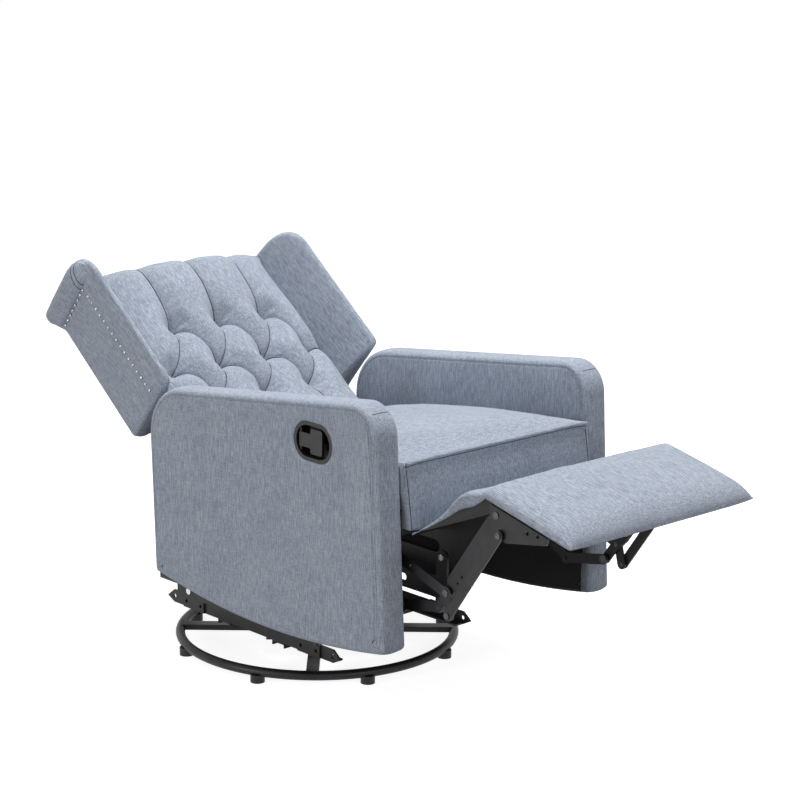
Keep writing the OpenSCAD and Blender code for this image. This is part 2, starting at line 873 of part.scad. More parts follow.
// Footrest
function from_pad(p) = foot_pivot
    + [p[0] * cos(foot_angle) - p[1] * sin(foot_angle), p[0] * sin(foot_angle) + p[1] * cos(foot_angle)];
function to_pad(p) = let (d = p - foot_pivot)
    [d[0] * cos(foot_angle) + d[1] * sin(foot_angle), d[1] * cos(foot_angle) - d[0] * sin(foot_angle)];

module footrest_bracket(side) {
    top = pad_low - board_t;
    lap = 0.6;
    flange_w = 24;
    flange_from = -126;
    flange_len = 96;
    hole_r = 4;
    boss = to_pad(upper_end);
    color(steel) placed() {
        on_side(side, knee_x, link_t) in_footrest() difference() {
            polygon(rounded([
                [-130, top - lap, 0], [-130, top - 14, 6], [boss[0] - 18, boss[1] - 8, 10],
                [boss[0] + 14, boss[1] - 10, 10], [14, -10, 10], [18, top - 6, 4],
                [18, top - lap, 0]]));
            circle(r = rivet_r + run_gap);
            translate(boss) circle(r = stud_r);
            translate([-80, 3]) circle(r = hole_r);
            translate([-105, 9]) circle(r = hole_r);
        }
        on_side(side, knee_x - flange_w, flange_w + link_t / 2) in_footrest()
            translate([flange_from, top - flange_t]) square([flange_len, flange_t]);
    }
}

module footrest_bracket_left() {
    footrest_bracket(1);
}

module footrest_bracket_right() {
    footrest_bracket(-1);
}

module footrest_rivets() {
    color(bright) placed() for (side = [-1, 1]) {
        side_pin(side, upper_end, stud_r, knee_x, side_x + link_t + head_t);
        side_pin(side, upper_end, stud_r + head_t, side_x + link_t + face_gap, side_x + link_t + head_t);
    }
}

module footrest_board() {
    low = board_inset - pad_len + pad_rear;
    color(cloth) placed() across(board_inset - soft_x, 2 * (soft_x - board_inset)) in_footrest()
        translate([low, pad_low - board_t]) square([pad_len - 2 * board_inset, board_t]);
}

module footrest_pad() {
    share = [-1, -0.99, -0.96, -0.9, -0.8, -0.62, -0.4, -0.2, 0, 0.2, 0.4, 0.62, 0.8, 0.9, 0.96, 0.99, 1];
    top_share = [0, 0.02, 0.08, 0.18, 0.32, 0.5, 0.68, 0.82, 0.92, 0.98, 1];
    front = pad_rear - pad_len;
    color(fabric) placed() loft([for (u = share)
        let (
            x = u * soft_x,
            thin = pad_edge_t * (1 - 0.45 * pow(abs(u), 24)),
            mid = pad_low + pad_edge_t / 2,
            tip = 6 * pow(abs(u), 10),
            crown = pad_crown * (1 - pow(abs(u), 3)))
        [for (p = concat(
            [[pad_rear - 4, mid - thin / 2], [pad_rear, mid]],
            [for (i = [len(top_share) - 1:-1:0])
                let (s = top_share[i], r = pad_edge_t / 2)
                [mix(front + r / 2 + tip, pad_rear - r / 4, s),
                    mid + thin / 2 + crown * sin(180 * (0.04 + 0.92 * s)) - 2]],
            [[front + tip, mid], [front + tip + pad_edge_t / 4, mid - thin / 2]]))
            let (q = from_pad(p)) [x, q[0], q[1]]]]);
}

// Cloth between the seat's front and the footrest
module footrest_flap() {
    sag = 10;
    t = 2.4;
    inset_x = 8;
    root = [-face_gap, seat_skirt_z - t];
    tip = from_pad([pad_rear + face_gap, pad_low + pad_edge_t / 2]);
    share = [0, 0.1, 0.2, 0.3, 0.4, 0.5, 0.6, 0.7, 0.8, 0.9, 1];
    low = [for (s = share) mix(root, tip, s) - [0, sag * sin(180 * s)]];
    color(fabric_dark) placed() across(inset_x - soft_x, 2 * (soft_x - inset_x))
        polygon(concat(low, reversed([for (p = low) p + [0, t]])));
}

// Back
module back_frame() {
    stile = 26;
    rail = 60;
    low = frame_low;
    high = roll_low - face_gap;
    rear = panel_t - back_face;
    color(timber) placed() difference() {
        union() {
            across(-frame_x, 2 * frame_x) in_back() translate([low, rear]) square([high - low, frame_t]);
            across(-bracket_x, 2 * bracket_x) in_back()
                translate([low, rear]) square([wing_low - link_gap - low, frame_t]);
        }
        across(stile - frame_x, 2 * (frame_x - stile)) in_back()
            translate([low + rail, rear - cut]) square([high - low - 2 * rail, frame_t + 2 * cut]);
    }
}

// Cranked steel bracket from the recline pivot to the back frame
module back_bracket(side) {
    rear = panel_t - back_face + frame_t / 2;
    heel = 110;
    end = wing_low - bracket_w / 2 - link_gap;
    bolts = [140, 180, 220];
    bolt_hole_r = 4;
    color(steel) placed() on_side(side, bracket_x, link_t) in_back() difference() {
        union() {
            bar([0, 0], [heel, rear], bracket_w);
            bar([heel, rear], [end, rear], bracket_w - 4);
        }
        circle(r = rivet_r + 1);
        for (d = bolts) translate([d, rear]) circle(r = bolt_hole_r);
    }
}

module back_bracket_left() {
    back_bracket(1);
}

module back_bracket_right() {
    back_bracket(-1);
}

module back_bolts() {
    at = [recline_y, recline_z];
    color(bright) placed() for (side = [-1, 1]) {
        side_pin(side, at, rivet_r + 1, side_x - head_t, bracket_x + link_t);
        side_pin(side, at, head_r + 1, side_x - head_t, side_x);
    }
}

module back_outer_panel() {
    color(fabric) placed() across(-frame_x, 2 * frame_x) in_back()
        translate([frame_low - 10, -back_face]) square([roll_low - face_gap - frame_low + 10, panel_t]);
}

function wing_outline() = rounded([
    [back_len + roll_rise, -back_face - roll_out, roll_r],
    [back_len - roll_h + 10, -back_face - roll_out, roll_r],
    [back_len - roll_h + 2, -back_face, 5],
    [wing_low, -back_face, 12], [wing_low, wing_out, 12], [back_len, wing_out, top_r]]);

function roll_outline() =
    let (high = back_len + roll_rise - face_gap, rear = face_gap - back_face - roll_out)
    rounded([
        [back_len - roll_h + roll_start, wing_out - nail_band - 6, 10],
        [back_len + 1, wing_out - nail_band - 6, 12],
        [high, rear, roll_r],
        [back_len - roll_h + roll_start, rear, roll_r - 4]]);

// The inner face flares outwards in front of the cushion's side
module wing(side) {
    flare = (wing_t - wing_front_t) / (wing_out - cushion_side_out);
    overrun = wing_t;
    color(fabric) placed() difference() {
        on_side(side, wing_x, wing_t) in_back() polygon(wing_outline());
        translate([0, recline_y, recline_z]) rotate([90 + back_angle, 0, 0])
            translate([0, 0, -back_len - overrun]) linear_extrude(back_len + overrun) polygon([
                [side * (wing_x - overrun * flare), cushion_side_out - overrun],
                [side * (wing_x + wing_t - wing_front_t + overrun * flare), wing_out + overrun],
                [side * (wing_x - overrun * flare), wing_out + overrun]]);
    }
}

// Welted facing on the end of the rolled top
module roll_facing(side) {
    outline = [for (p = reversed(roll_outline())) back_point(p)];
    low = wing_x + wing_t + face_gap;
    depth = roll_bulge - face_gap;
    color(fabric) placed() slab(outline, side > 0 ? low : -low - depth, depth, roll_bulge / 2 - face_gap);
}

function reversed(list) = [for (i = [len(list) - 1:-1:0]) list[i]];

module wing_left() {
    wing(1);
}

module wing_right() {
    wing(-1);
}

module roll_facing_left() {
    roll_facing(1);
}

module roll_facing_right() {
    roll_facing(-1);
}

// Back cushion: head channels above, diamond tufts below
function ripple(u) = pow(abs(sin(180 * u)), 0.7);
function cushion_out(x, d) =
    let (
        u = x / tuft_pitch_x,
        v = (d - tuft_top) / tuft_pitch_y,
        side = 1 - pow(abs(x / cushion_x), 7),
        head = smooth((d - tuft_top) / (back_len - 75 - tuft_top)),
        foot = smooth((-2.2 - v) / 1.2),
        diamond = pow(ripple(u + v / 2) * ripple(u - v / 2), 0.75),
        channel = mix(ripple(u), 1, 0.5 * foot),
        in_rows = smooth(1 - v * 4) * smooth(1 + (v + 2) * 4),
        puff = mix(channel, diamond, in_rows),
        crown = head_out - head_arch * pow(abs(x / cushion_x), 2),
        crest = mix(cushion_mid_out, crown, head) + (cushion_low_out - cushion_mid_out) * foot,
        depth = tuft_depth * (1 - 0.4 * head) * (1 - 0.5 * foot)
    )
    mix(cushion_side_out, crest - depth * (1 - puff), side);

// Which way a cell's two triangles fold, so that the creases run from tuft to tuft
function fold_back(x, d) =
    let (u = x / tuft_pitch_x, v = (d - tuft_top) / tuft_pitch_y, a = u + v / 2, b = u - v / 2)
    abs(b - round(b)) < abs(a - round(a));

module back_cushion() {
    cells = 4;
    half_cols = 15;
    col = tuft_pitch_x / 2 / cells;
    row = tuft_pitch_y / cells;
    low_rows = 6;
    head_rows = 4;
    front_top = back_len - 52;
    tuft_low = tuft_top - 2 * tuft_pitch_y;
    xs = concat([-cushion_x], [for (i = [-half_cols:half_cols]) if (abs(i) * col < cushion_x - col / 2) i * col], [cushion_x]);
    ds = concat(
        [for (j = [0:low_rows - 1]) mix(cushion_low, tuft_low, j / low_rows)],
        [for (j = [0:2 * cells]) tuft_low + j * row],
        [for (j = [1:head_rows]) mix(tuft_top, front_top, j / head_rows)]);
    rings = [for (x = xs)
        let (e = 5 * pow(abs(x / cushion_x), 16))
        [for (p = concat(
            [for (d = ds) [d, cushion_out(x, d) - e]],
            [for (a = [24, 48, 72, 90])
                [front_top + (back_len - front_top) * sin(a),
                    mix(cushion_out(x, front_top), -30, 1 - cos(a)) - e]],
            [[back_len + roll_rise * 0.7, -back_face * 0.7],
                [back_len + roll_rise - 8, -back_face - roll_out + 14],
                [back_len - 16, -back_face - roll_out],
                [roll_low + 12, -back_face - roll_out + 2],
                [roll_low, -back_face - 8], [roll_low, cushion_back], [cushion_low, cushion_back]]))
            let (q = back_point(p)) [x, q[0], q[1]]]];
    n = len(xs);
    m = len(rings[0]);
    walls = [for (i = [0:n - 2]) for (j = [0:m - 1])
        let (
            a = i * m + j,
            b = i * m + (j + 1) % m,
            x = (xs[i] + xs[i + 1]) / 2,
            flip = j < len(ds) - 1 && fold_back(x, (ds[j] + ds[min(j + 1, len(ds) - 1)]) / 2))
        each flip ? [[a, a + m, b + m], [a, b + m, b]] : [[a, a + m, b], [b, a + m, b + m]]];
    hub = len(ds) + 4;
    color(fabric) placed() polyhedron(
        points = flat(rings),
        faces = concat(walls, cap(m, 0, hub, false), cap(m, (n - 1) * m, hub, true)));
}

// Nailheads: under the rolled top, then down the wing's front band
function nail_path() =
    let (
        row = back_len - roll_h + roll_start - nail_r - 1,
        start = [row - 2, nail_edge - back_face],
        corner = [row, wing_out - nail_band - 5],
        finish = [wing_low + nail_inset, wing_out - nail_band])
    concat([for (i = [0:nail_row - 1]) mix(start, corner, i / nail_row)],
        [for (i = [0:nail_column]) mix(corner, finish, i / nail_column)]);

module nailheads(side) {
    dome_h = 2.2;
    face = wing_x + wing_t;
    color(bright) placed() for (p = nail_path()) {
        q = back_point(p);
        side_pin(side, q, nail_r, face, face + dome_h / 2);
        side_pin(side, q, nail_r * 0.7, face + dome_h / 2, face + dome_h);
    }
}

module nailheads_left() {
    nailheads(1);
}

module nailheads_right() {
    nailheads(-1);
}

base_ring();
base_cross();
floor_glides();
swivel_plate_lower();
swivel_bearing();
swivel_bolt();
swivel_plate_upper();
glider_crossbars();
glider_rail_left();
glider_rail_right();
hanger_brackets();
hanger_pins();
front_hanging_links();
rear_hanging_links();
carrier_rail_left();
carrier_rail_right();
carrier_pins();
side_plate_left();
side_plate_right();
side_plate_stretcher();
pivot_rivets();
seat_rail_left();
seat_rail_right();
seat_cross_rails();
seat_springs();
seat_cushion();
arm_left();
arm_right();
lever_housing();
lever_paddle();
lever_pin();
drive_tube();
knee_arm_left();
knee_arm_right();
knee_rivets();
guide_link_left();
guide_link_right();
channel_link_left();
channel_link_right();
channel_rivets();
upper_link_left();
upper_link_right();
footrest_bracket_left();
footrest_bracket_right();
footrest_rivets();
footrest_board();
footrest_pad();
footrest_flap();
back_frame();
back_bracket_left();
back_bracket_right();
back_bolts();
back_outer_panel();
back_cushion();
wing_left();
wing_right();
roll_facing_left();
roll_facing_right();
nailheads_left();
nailheads_right();
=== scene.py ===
import json
import math

import bmesh
import bpy
import numpy as np
from mathutils import Matrix, Vector, geometry, noise


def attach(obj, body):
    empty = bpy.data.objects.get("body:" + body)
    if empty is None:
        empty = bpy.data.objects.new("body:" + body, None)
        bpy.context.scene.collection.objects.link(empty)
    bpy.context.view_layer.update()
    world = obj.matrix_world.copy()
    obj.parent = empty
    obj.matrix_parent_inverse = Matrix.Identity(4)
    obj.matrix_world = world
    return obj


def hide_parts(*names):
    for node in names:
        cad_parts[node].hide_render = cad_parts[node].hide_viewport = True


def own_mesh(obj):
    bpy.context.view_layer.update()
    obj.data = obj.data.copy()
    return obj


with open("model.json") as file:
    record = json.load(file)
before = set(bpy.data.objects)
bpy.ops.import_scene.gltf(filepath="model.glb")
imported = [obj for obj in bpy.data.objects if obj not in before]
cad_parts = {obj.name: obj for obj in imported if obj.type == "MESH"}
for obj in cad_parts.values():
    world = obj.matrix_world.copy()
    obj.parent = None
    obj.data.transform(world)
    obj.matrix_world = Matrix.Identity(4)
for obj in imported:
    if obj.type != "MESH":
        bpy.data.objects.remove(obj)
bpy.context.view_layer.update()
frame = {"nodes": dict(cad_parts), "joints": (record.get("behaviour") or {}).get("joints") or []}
nodes = frame["nodes"]

# Sizes, in millimetres. Station y runs back from the arm fronts.
MM = 0.001
RECLINE_Y = 530.0
RECLINE_Z = 385.0
BACK_TURN = math.radians(38.5)
FOOT_Y = -216.0
FOOT_Z = 490.0
FOOT_TURN = math.radians(13.5)
recline_at = [j for j in frame["joints"] if j["name"] == "recline"][0]["pos_m"]
FRONT_Y = recline_at[1] / MM - RECLINE_Y

HALF_W = 317.5
ARM_T = 61.5
INNER_X = HALF_W - ARM_T
SOFT_X = 253.5
ARM_DEPTH = 711.0
ARM_FOOT_Z = 181.0
ARM_ARCH = 34.0
ARM_FRONT_Z = 662.0
ARM_REAR_Z = 576.0
ARM_FRONT_LEAN = 29.0
ARM_REAR_LEAN = 18.0
ARM_FRONT_R = 64.0
ARM_REAR_R = 112.0
ARM_EDGE_R = 11.0
ARM_FOOT_R = 10.0
ARM_SEAM = 13.0
ARM_FRONT_SEAM = 19.5
LINING_T = 3.0
LINING_Y = 24.0
LINING_Z = 402.0

SEAT_FRONT_Z = 546.0
SEAT_FALL = 57.0
SEAT_DEPTH = 508.0
SEAT_CROWN = 38.0
SEAT_SKIRT_Z = 412.0
SEAT_LEAN = 20.0
SEAT_LOW_Z = 452.0
SKIRT_T = 22.0
FACE_BULGE = 6.0
SEAT_PULL = 4.0
WELT_R = 4.2

BACK_LEN = 624.0
WING_LOW = 254.0
WING_OUT = 65.0
WING_X = 247.0
WING_T = 48.0
WING_FRONT_T = 11.0
WING_R = 12.0
WING_EDGE_R = 9.0
BAND_STEP = 1.6
BAND_GROOVE = 1.8
GROOVE_WIDE = 2.2
BACK_FACE = 127.0
ROLL_OUT = 25.0
ROLL_H = 58.0
ROLL_TOP = 19.0
ROLL_REAR_R = 20.0
ROLL_RISE = 14.0
ROLL_START = 12.0
ROLL_BULGE = 15.0
ROLL_FRONT = 8.0
ROLL_SWEEP = 24.0
ROLL_SEAM = 14.0
ROLL_FADE = 40.0
ROLL_END = 26.0
ROLL_GROOVE = 1.8
ROLL_LOW = 572.0
TOP_R = 80.0
NAIL_BAND = 63.0
NAIL_R = 3.3
NAIL_ROW = 7
NAIL_COLUMN = 16
CUSHION_X = 246.7
CUSHION_LOW = 20.0
CUSHION_LOW_OUT = 28.0
CUSHION_MID_OUT = 12.0
CUSHION_SIDE_OUT = -50.0
CUSHION_BACK = -90.7
PANEL_LOW = 52.0
PANEL_HIGH = 571.7
PANEL_T = 6.0
HEAD_OUT = 28.0
HEAD_ARCH = 34.0
TUFT_X = 125.0
TUFT_Y = 105.0
TUFT_TOP = 443.0
TUFT_ROWS = {0: TUFT_TOP, -1: 332.0, -2: 237.0}
TUFT_DEPTH = 44.0
BUTTON_R = 6.0
# Radius of the dark tubes that paint the shade of seams and creases
SEAM_SHADE_R = 1.2
# Radius of the dark tube under the seat's welt, its painted shadow
WELT_SHADOW_R = 1.7
OUTLINE_STEP = 4.0

PAD_LEN = 226.0
PAD_REAR = 29.0
PAD_LOW = 26.0
PAD_EDGE_T = 28.0
PAD_CROWN = 14.0
PAD_TIP = 4.0
PAD_ROLL = 52.0
PAD_RIM = 4.0
PAD_SIDE = 0.86
PAD_REAR_R = 12.0
FLAP_T = 1.6
FLAP_RISE = 21.0
FLAP_SKIRT = 24.0
HUMP_AT, HUMP_WIDE = 0.67, 0.2
SKIRT_AT, SKIRT_WIDE = 0.72, 0.26

LEVER_Y = 203.0
LEVER_Z = 558.0
LEVER_W = 112.0
LEVER_H = 78.0
POCKET_GAP = 0.6
POCKET_DEPTH = 27.0

# Unevenness of the cushions' cloth, as (height, size, seed, level)
SEAT_WAVES = ((1.6, 90, 4.0, 0), (0.6, 32, 6.0, 9))
BACK_WAVES = ((1.4, 60, 7.0, 0), (0.25, 20, 9.0, 5))
PAD_WAVES = ((1.2, 70, 12.0, 0), (0.5, 26, 14.0, 7))

SIDES = {1: "left", -1: "right"}

CAMERA_AT = (-3.095529, -3.362883, 1.647683)
CAMERA_YAW = -43.066
CAMERA_PITCH = 13.312
CAMERA_ROLL = 0.572
CAMERA_LENS = 103.34


# Outlines
def corner_arc(before, at, after, r):
    """Arc of radius r that rounds a corner between its two neighbours"""
    u = (before - at).normalized()
    v = (after - at).normalized()
    half = math.acos(max(-1.0, min(1.0, u.dot(v)))) / 2
    centre = at + (u + v).normalized() * r / math.sin(half)
    p = at + u * r / math.tan(half) - centre
    q = at + v * r / math.tan(half) - centre
    start = math.atan2(p.y, p.x)
    sweep = (math.atan2(q.y, q.x) - start + 3 * math.pi) % (2 * math.pi) - math.pi
    count = max(2, int(abs(sweep) * r / OUTLINE_STEP))
    turns = [start + sweep * i / count for i in range(count + 1)]
    return [centre + Vector((r * math.cos(a), r * math.sin(a))) for a in turns]


def rounded(corners):
    """Outline from corners of (x, y, radius)"""
    at = [Vector((c[0], c[1])) for c in corners]
    out = []
    for i, c in enumerate(corners):
        out.extend(corner_arc(at[i - 1], at[i], at[(i + 1) % len(at)], c[2]))
    return out


def outline_ring(outline, step):
    """Evenly spaced points of a closed outline, run anticlockwise, and their outward normals"""
    closed = np.array([tuple(p) for p in outline] + [tuple(outline[0])])
    run = np.concatenate([[0], np.cumsum(np.linalg.norm(np.diff(closed, axis=0), axis=1))])
    at = np.linspace(0, run[-1], int(round(run[-1] / step)), endpoint=False)
    x = np.interp(at, run, closed[:, 0])
    y = np.interp(at, run, closed[:, 1])
    ring = np.column_stack([x, y])
    if np.sum(x * np.roll(y, -1) - np.roll(x, -1) * y) < 0:
        ring = ring[::-1]
    along = np.roll(ring, -1, axis=0) - np.roll(ring, 1, axis=0)
    along /= np.linalg.norm(along, axis=1)[:, None]
    return ring, np.column_stack([along[:, 1], -along[:, 0]])


def ring_gap(p, ring):
    """Distance from a point to a closed ring"""
    d = np.roll(ring, -1, axis=0) - ring
    t = np.clip(np.sum((p - ring) * d, axis=1) / np.maximum(np.sum(d * d, axis=1), 1e-9), 0, 1)
    return float(np.min(np.linalg.norm(ring + t[:, None] * d - p, axis=1)))


# Formulas
def clamp(v):
    return min(1.0, max(0.0, v))


def smooth_step(s):
    t = clamp(s)
    return t * t * (3 - 2 * t)


def bell(x, width):
    return math.exp(-(x / width) ** 2)


def soft_noise(p, size, seed=0.0):
    return noise.noise(Vector((p[0] / size + seed, p[1] / size - seed, p[2] / size + 2 * seed)))


def cloth_waves(x, y, waves):
    return sum(high * soft_noise((x, y, level), size, seed) for high, size, seed, level in waves)


def turned_matrix(y, z, turn):
    return Matrix.Translation((0, (y + FRONT_Y) * MM, z * MM)) @ Matrix.Rotation(turn, 4, "X")


BACK_MATRIX = turned_matrix(RECLINE_Y, RECLINE_Z, BACK_TURN)
FOOT_MATRIX = turned_matrix(FOOT_Y, FOOT_Z, FOOT_TURN)
ROW_MATRIX = turned_matrix(0, 0, 0)


def add_mesh(name, verts, faces, matrix, smooth=True):
    """A mesh piece whose points are millimetres in its own frame (x across, then along, then up or out)"""
    mesh = bpy.data.meshes.new(name)
    mesh.from_pydata([tuple(c * MM for c in v) for v in verts], [], faces)
    mesh.validate()
    bm = bmesh.new()
    bm.from_mesh(mesh)
    bmesh.ops.recalc_face_normals(bm, faces=bm.faces)
    bm.to_mesh(mesh)
    bm.free()
    mesh.polygons.foreach_set("use_smooth", [smooth] * len(mesh.polygons))
    piece = bpy.data.objects.new(name, mesh)
    bpy.context.scene.collection.objects.link(piece)
    piece.matrix_world = matrix
    return piece


def ring_faces(rings, size):
    """Faces between neighbouring rings of equal size"""
    faces = []
    for i in range(rings - 1):
        for j in range(size):
            a = i * size + j
            b = i * size + (j + 1) % size
            faces.append((a, b, b + size, a + size))
    return faces


def capped_faces(rings, size):
    """Ring faces with both ends filled"""
    last = (rings - 1) * size
    return ring_faces(rings, size) + [tuple(range(size)), tuple(last + i for i in reversed(range(size)))]


def sheet_faces(cols, rows):
    """Faces of two equal grids of points, one behind the other, closed round their rims"""
    n = (cols + 1) * (rows + 1)
    faces = []
    for k in (0, n):
        for i in range(cols):
            for j in range(rows):
                a = k + i * (rows + 1) + j
                faces.append((a, a + 1, a + rows + 2, a + rows + 1))
    rim = [i * (rows + 1) for i in range(cols + 1)]
    rim += [cols * (rows + 1) + j for j in range(1, rows + 1)]
    rim += [i * (rows + 1) + rows for i in reversed(range(cols))]
    rim += [j for j in reversed(range(1, rows))]
    for a, b in zip(rim, rim[1:] + rim[:1]):
        faces.append((a, b, b + n, a + n))
    return faces


def fill_inside(ring, spacing, extra):
    """Points and triangles inside a closed ring"""
    lo = ring.min(axis=0)
    hi = ring.max(axis=0)
    after = np.roll(ring, -1, axis=0)

    def inside(p):
        x, y = p
        xa, ya = ring[:, 0], ring[:, 1]
        xb, yb = after[:, 0], after[:, 1]
        hits = (ya > y) != (yb > y)
        with np.errstate(divide="ignore", invalid="ignore"):
            cross = (xb - xa) * (y - ya) / (yb - ya) + xa
        return bool(np.sum(hits & (x < cross)) % 2)

    fixed = [np.array(p) for p in extra if inside(p) and ring_gap(p, ring) > 1.0]
    fixed_array = np.array(fixed) if fixed else np.zeros((0, 2))
    points = []
    row = 0
    y = lo[1] + spacing / 2
    while y < hi[1]:
        x = lo[0] + spacing * (0.25 + 0.5 * (row % 2))
        while x < hi[0]:
            p = np.array((x, y))
            near = len(fixed_array) and np.min(np.linalg.norm(fixed_array - p, axis=1)) < spacing * 0.55
            if not near and inside(p) and ring_gap(p, ring) > spacing * 0.6:
                points.append(p)
            x += spacing
        y += spacing * 0.87
        row += 1
    everything = [Vector(p) for p in ring] + [Vector(p) for p in fixed] + [Vector(p) for p in points]
    n = len(ring)
    edges = [(i, (i + 1) % n) for i in range(n)]
    _, _, faces, origin, _, _ = geometry.delaunay_2d_cdt(everything, edges, [], 1, 0.0001)
    order = {}
    for new, old in enumerate(origin):
        if old:
            order[new] = old[0]
    kept = np.array([tuple(p) for p in everything])
    triangles = [tuple(order[i] for i in f) for f in faces if all(i in order for i in f)]
    return kept, triangles


# Upholstered slabs: arms and wings
EDGE_TURNS = (90, 66, 46, 28, 13, 0)
SEAM_STEPS = (-3.2, -1.6, -0.7, 0.0, 0.7, 1.6, 3.2)
SEAM_DEEP = 1.9
SEAM_WIDE = 1.1
PUCKER_DEEP = 0.5
PUCKER_WIDE = 3.5
PUCKER_RUN = 14.0
BROAD_WAVE = 130.0
FINE_WAVE = 42.0
FILL_SPACING = 15.0


def padded_slab(name, outline, low, depth, step, edge, seed, seams=(), seam_share=None, strip_crown=1.5,
                rise=None, extra=((), ()), wave=0.8, warp=None):
    """Upholstered slab: edges rounded, seams pressed in at set distances from the outline"""
    ring, normals = outline_ring(outline, step)
    steps = [edge * (1 - math.sin(math.radians(a))) for a in EDGE_TURNS]
    steps += [0.0] + [s + d for s in seams for d in SEAM_STEPS if s + d > 0]
    steps = sorted(set(round(d, 3) for d in steps))
    last = max(steps) + 7.0
    steps.append(last)

    def drop(d, i):
        fall = edge - math.sqrt(edge * edge - (edge - d) ** 2) if d < edge else 0.0
        for k, s in enumerate(seams):
            share = 1.0 if seam_share is None else seam_share(ring[i], k)
            pucker = PUCKER_DEEP * (1 + soft_noise((i * step, s, 0), PUCKER_RUN, seed))
            fall += share * (SEAM_DEEP * bell(d - s, SEAM_WIDE) + pucker * bell(d - s, PUCKER_WIDE))
        return fall

    def face_height(p, d, side):
        h = wave * soft_noise((p[0], p[1], side * 100), BROAD_WAVE, seed) * smooth_step(d / 40)
        h += 0.35 * wave * soft_noise((p[0], p[1], side * 50), FINE_WAVE, seed + 3) * smooth_step(d / 20)
        if rise:
            h += rise(p, side)
        return h

    verts = []
    rings = 0
    size = len(ring)
    for d in reversed(steps):
        for i in range(size):
            p = ring[i] - normals[i] * d
            verts.append((low + drop(d, i) - face_height(p, d, -1), p[0], p[1]))
        rings += 1
    strip_in = low + edge
    strip_out = low + depth - edge
    for t in (-0.7, -0.35, 0, 0.35, 0.7):
        for i in range(size):
            push = strip_crown * (1 - t * t)
            push += 0.4 * wave * soft_noise((ring[i][0], ring[i][1], t * 30), 60, seed + 5)
            p = ring[i] + normals[i] * push
            verts.append(((strip_in + strip_out) / 2 + t * (strip_out - strip_in) / 2, p[0], p[1]))
        rings += 1
    for d in steps:
        for i in range(size):
            p = ring[i] - normals[i] * d
            verts.append((low + depth - drop(d, i) + face_height(p, d, 1), p[0], p[1]))
        rings += 1
    faces = ring_faces(rings, size)
    inner = ring - normals * last
    for side, first in ((-1, 0), (1, (rings - 1) * size)):
        points, triangles = fill_inside(inner, FILL_SPACING, extra[0] if side < 0 else extra[1])
        base = len(verts)
        for p in points[size:]:
            h = face_height(p, ring_gap(p, ring), side)
            verts.append(((low - h) if side < 0 else (low + depth + h), p[0], p[1]))
        for tri in triangles:
            faces.append(tuple(first + i if i < size else base + i - size for i in tri))
    if warp:
        verts = [warp(v) for v in verts]
    return add_mesh(name, verts, faces, ROW_MATRIX)


def tube(name, path, r, matrix, sides=6):
    """Round welt, or dark line of painted shade, along an open path of points"""
    pts = [Vector(p) for p in path]
    n = len(pts)
    verts = []
    up = None
    for i, p in enumerate(pts):
        before = pts[i - 1] if i > 0 else p
        after = pts[i + 1] if i < n - 1 else p
        t = (after - before).normalized()
        if up is None:
            up = t.orthogonal().normalized()
        up = (up - t * up.dot(t)).normalized()
        side = t.cross(up)
        for k in range(sides):
            a = 2 * math.pi * k / sides
            verts.append(p + (up * math.cos(a) + side * math.sin(a)) * r)
    return add_mesh(name, verts, capped_faces(n, sides), matrix)


# Materials
def put(node, socket, value):
    node.inputs[socket].default_value = value


def new_material(name):
    mat = bpy.data.materials.new(name)
    mat.use_nodes = True
    tree = mat.node_tree
    return mat, tree, tree.nodes["Principled BSDF"]


def add_noise(tree, scale, detail, rough, vector=None):
    """Noise at a scale per metre, one for all axes or one for each"""
    if vector is None:
        vector = tree.nodes.new("ShaderNodeTexCoord").outputs["Object"]
    mapping = tree.nodes.new("ShaderNodeMapping")
    put(mapping, "Scale", scale if isinstance(scale, (tuple, list)) else [scale] * 3)
    tree.links.new(vector, mapping.inputs["Vector"])
    tex = tree.nodes.new("ShaderNodeTexNoise")
    put(tex, "Scale", 1.0)
    put(tex, "Detail", detail)
    put(tex, "Roughness", rough)
    tree.links.new(mapping.outputs["Vector"], tex.inputs["Vector"])
    return tex.outputs["Fac"]


def math_node(tree, kind, a, b):
    node = tree.nodes.new("ShaderNodeMath")
    node.operation = kind
    for socket, value in zip(node.inputs, (a, b)):
        if isinstance(value, (int, float)):
            socket.default_value = value
        else:
            tree.links.new(value, socket)
    return node.outputs[0]


def ramp(tree, value, stops):
    node = tree.nodes.new("ShaderNodeValToRGB")
    elements = node.color_ramp.elements
    while len(elements) < len(stops):
        elements.new(0.5)
    for e, (at, colour) in zip(elements, stops):
        e.position = at
        e.color = (*colour, 1)
    tree.links.new(value, node.inputs[0])
    return node.outputs[0]


def add_bump(tree, shader, height, strength, distance):
    bump = tree.nodes.new("ShaderNodeBump")
    put(bump, "Strength", strength)
    put(bump, "Distance", distance)
    tree.links.new(height, bump.inputs["Height"])
    tree.links.new(bump.outputs["Normal"], shader.inputs["Normal"])


CLOTH_TONES = [(0.36, (0.165, 0.190, 0.240)), (0.50, (0.300, 0.340, 0.410)), (0.64, (0.500, 0.540, 0.600))]


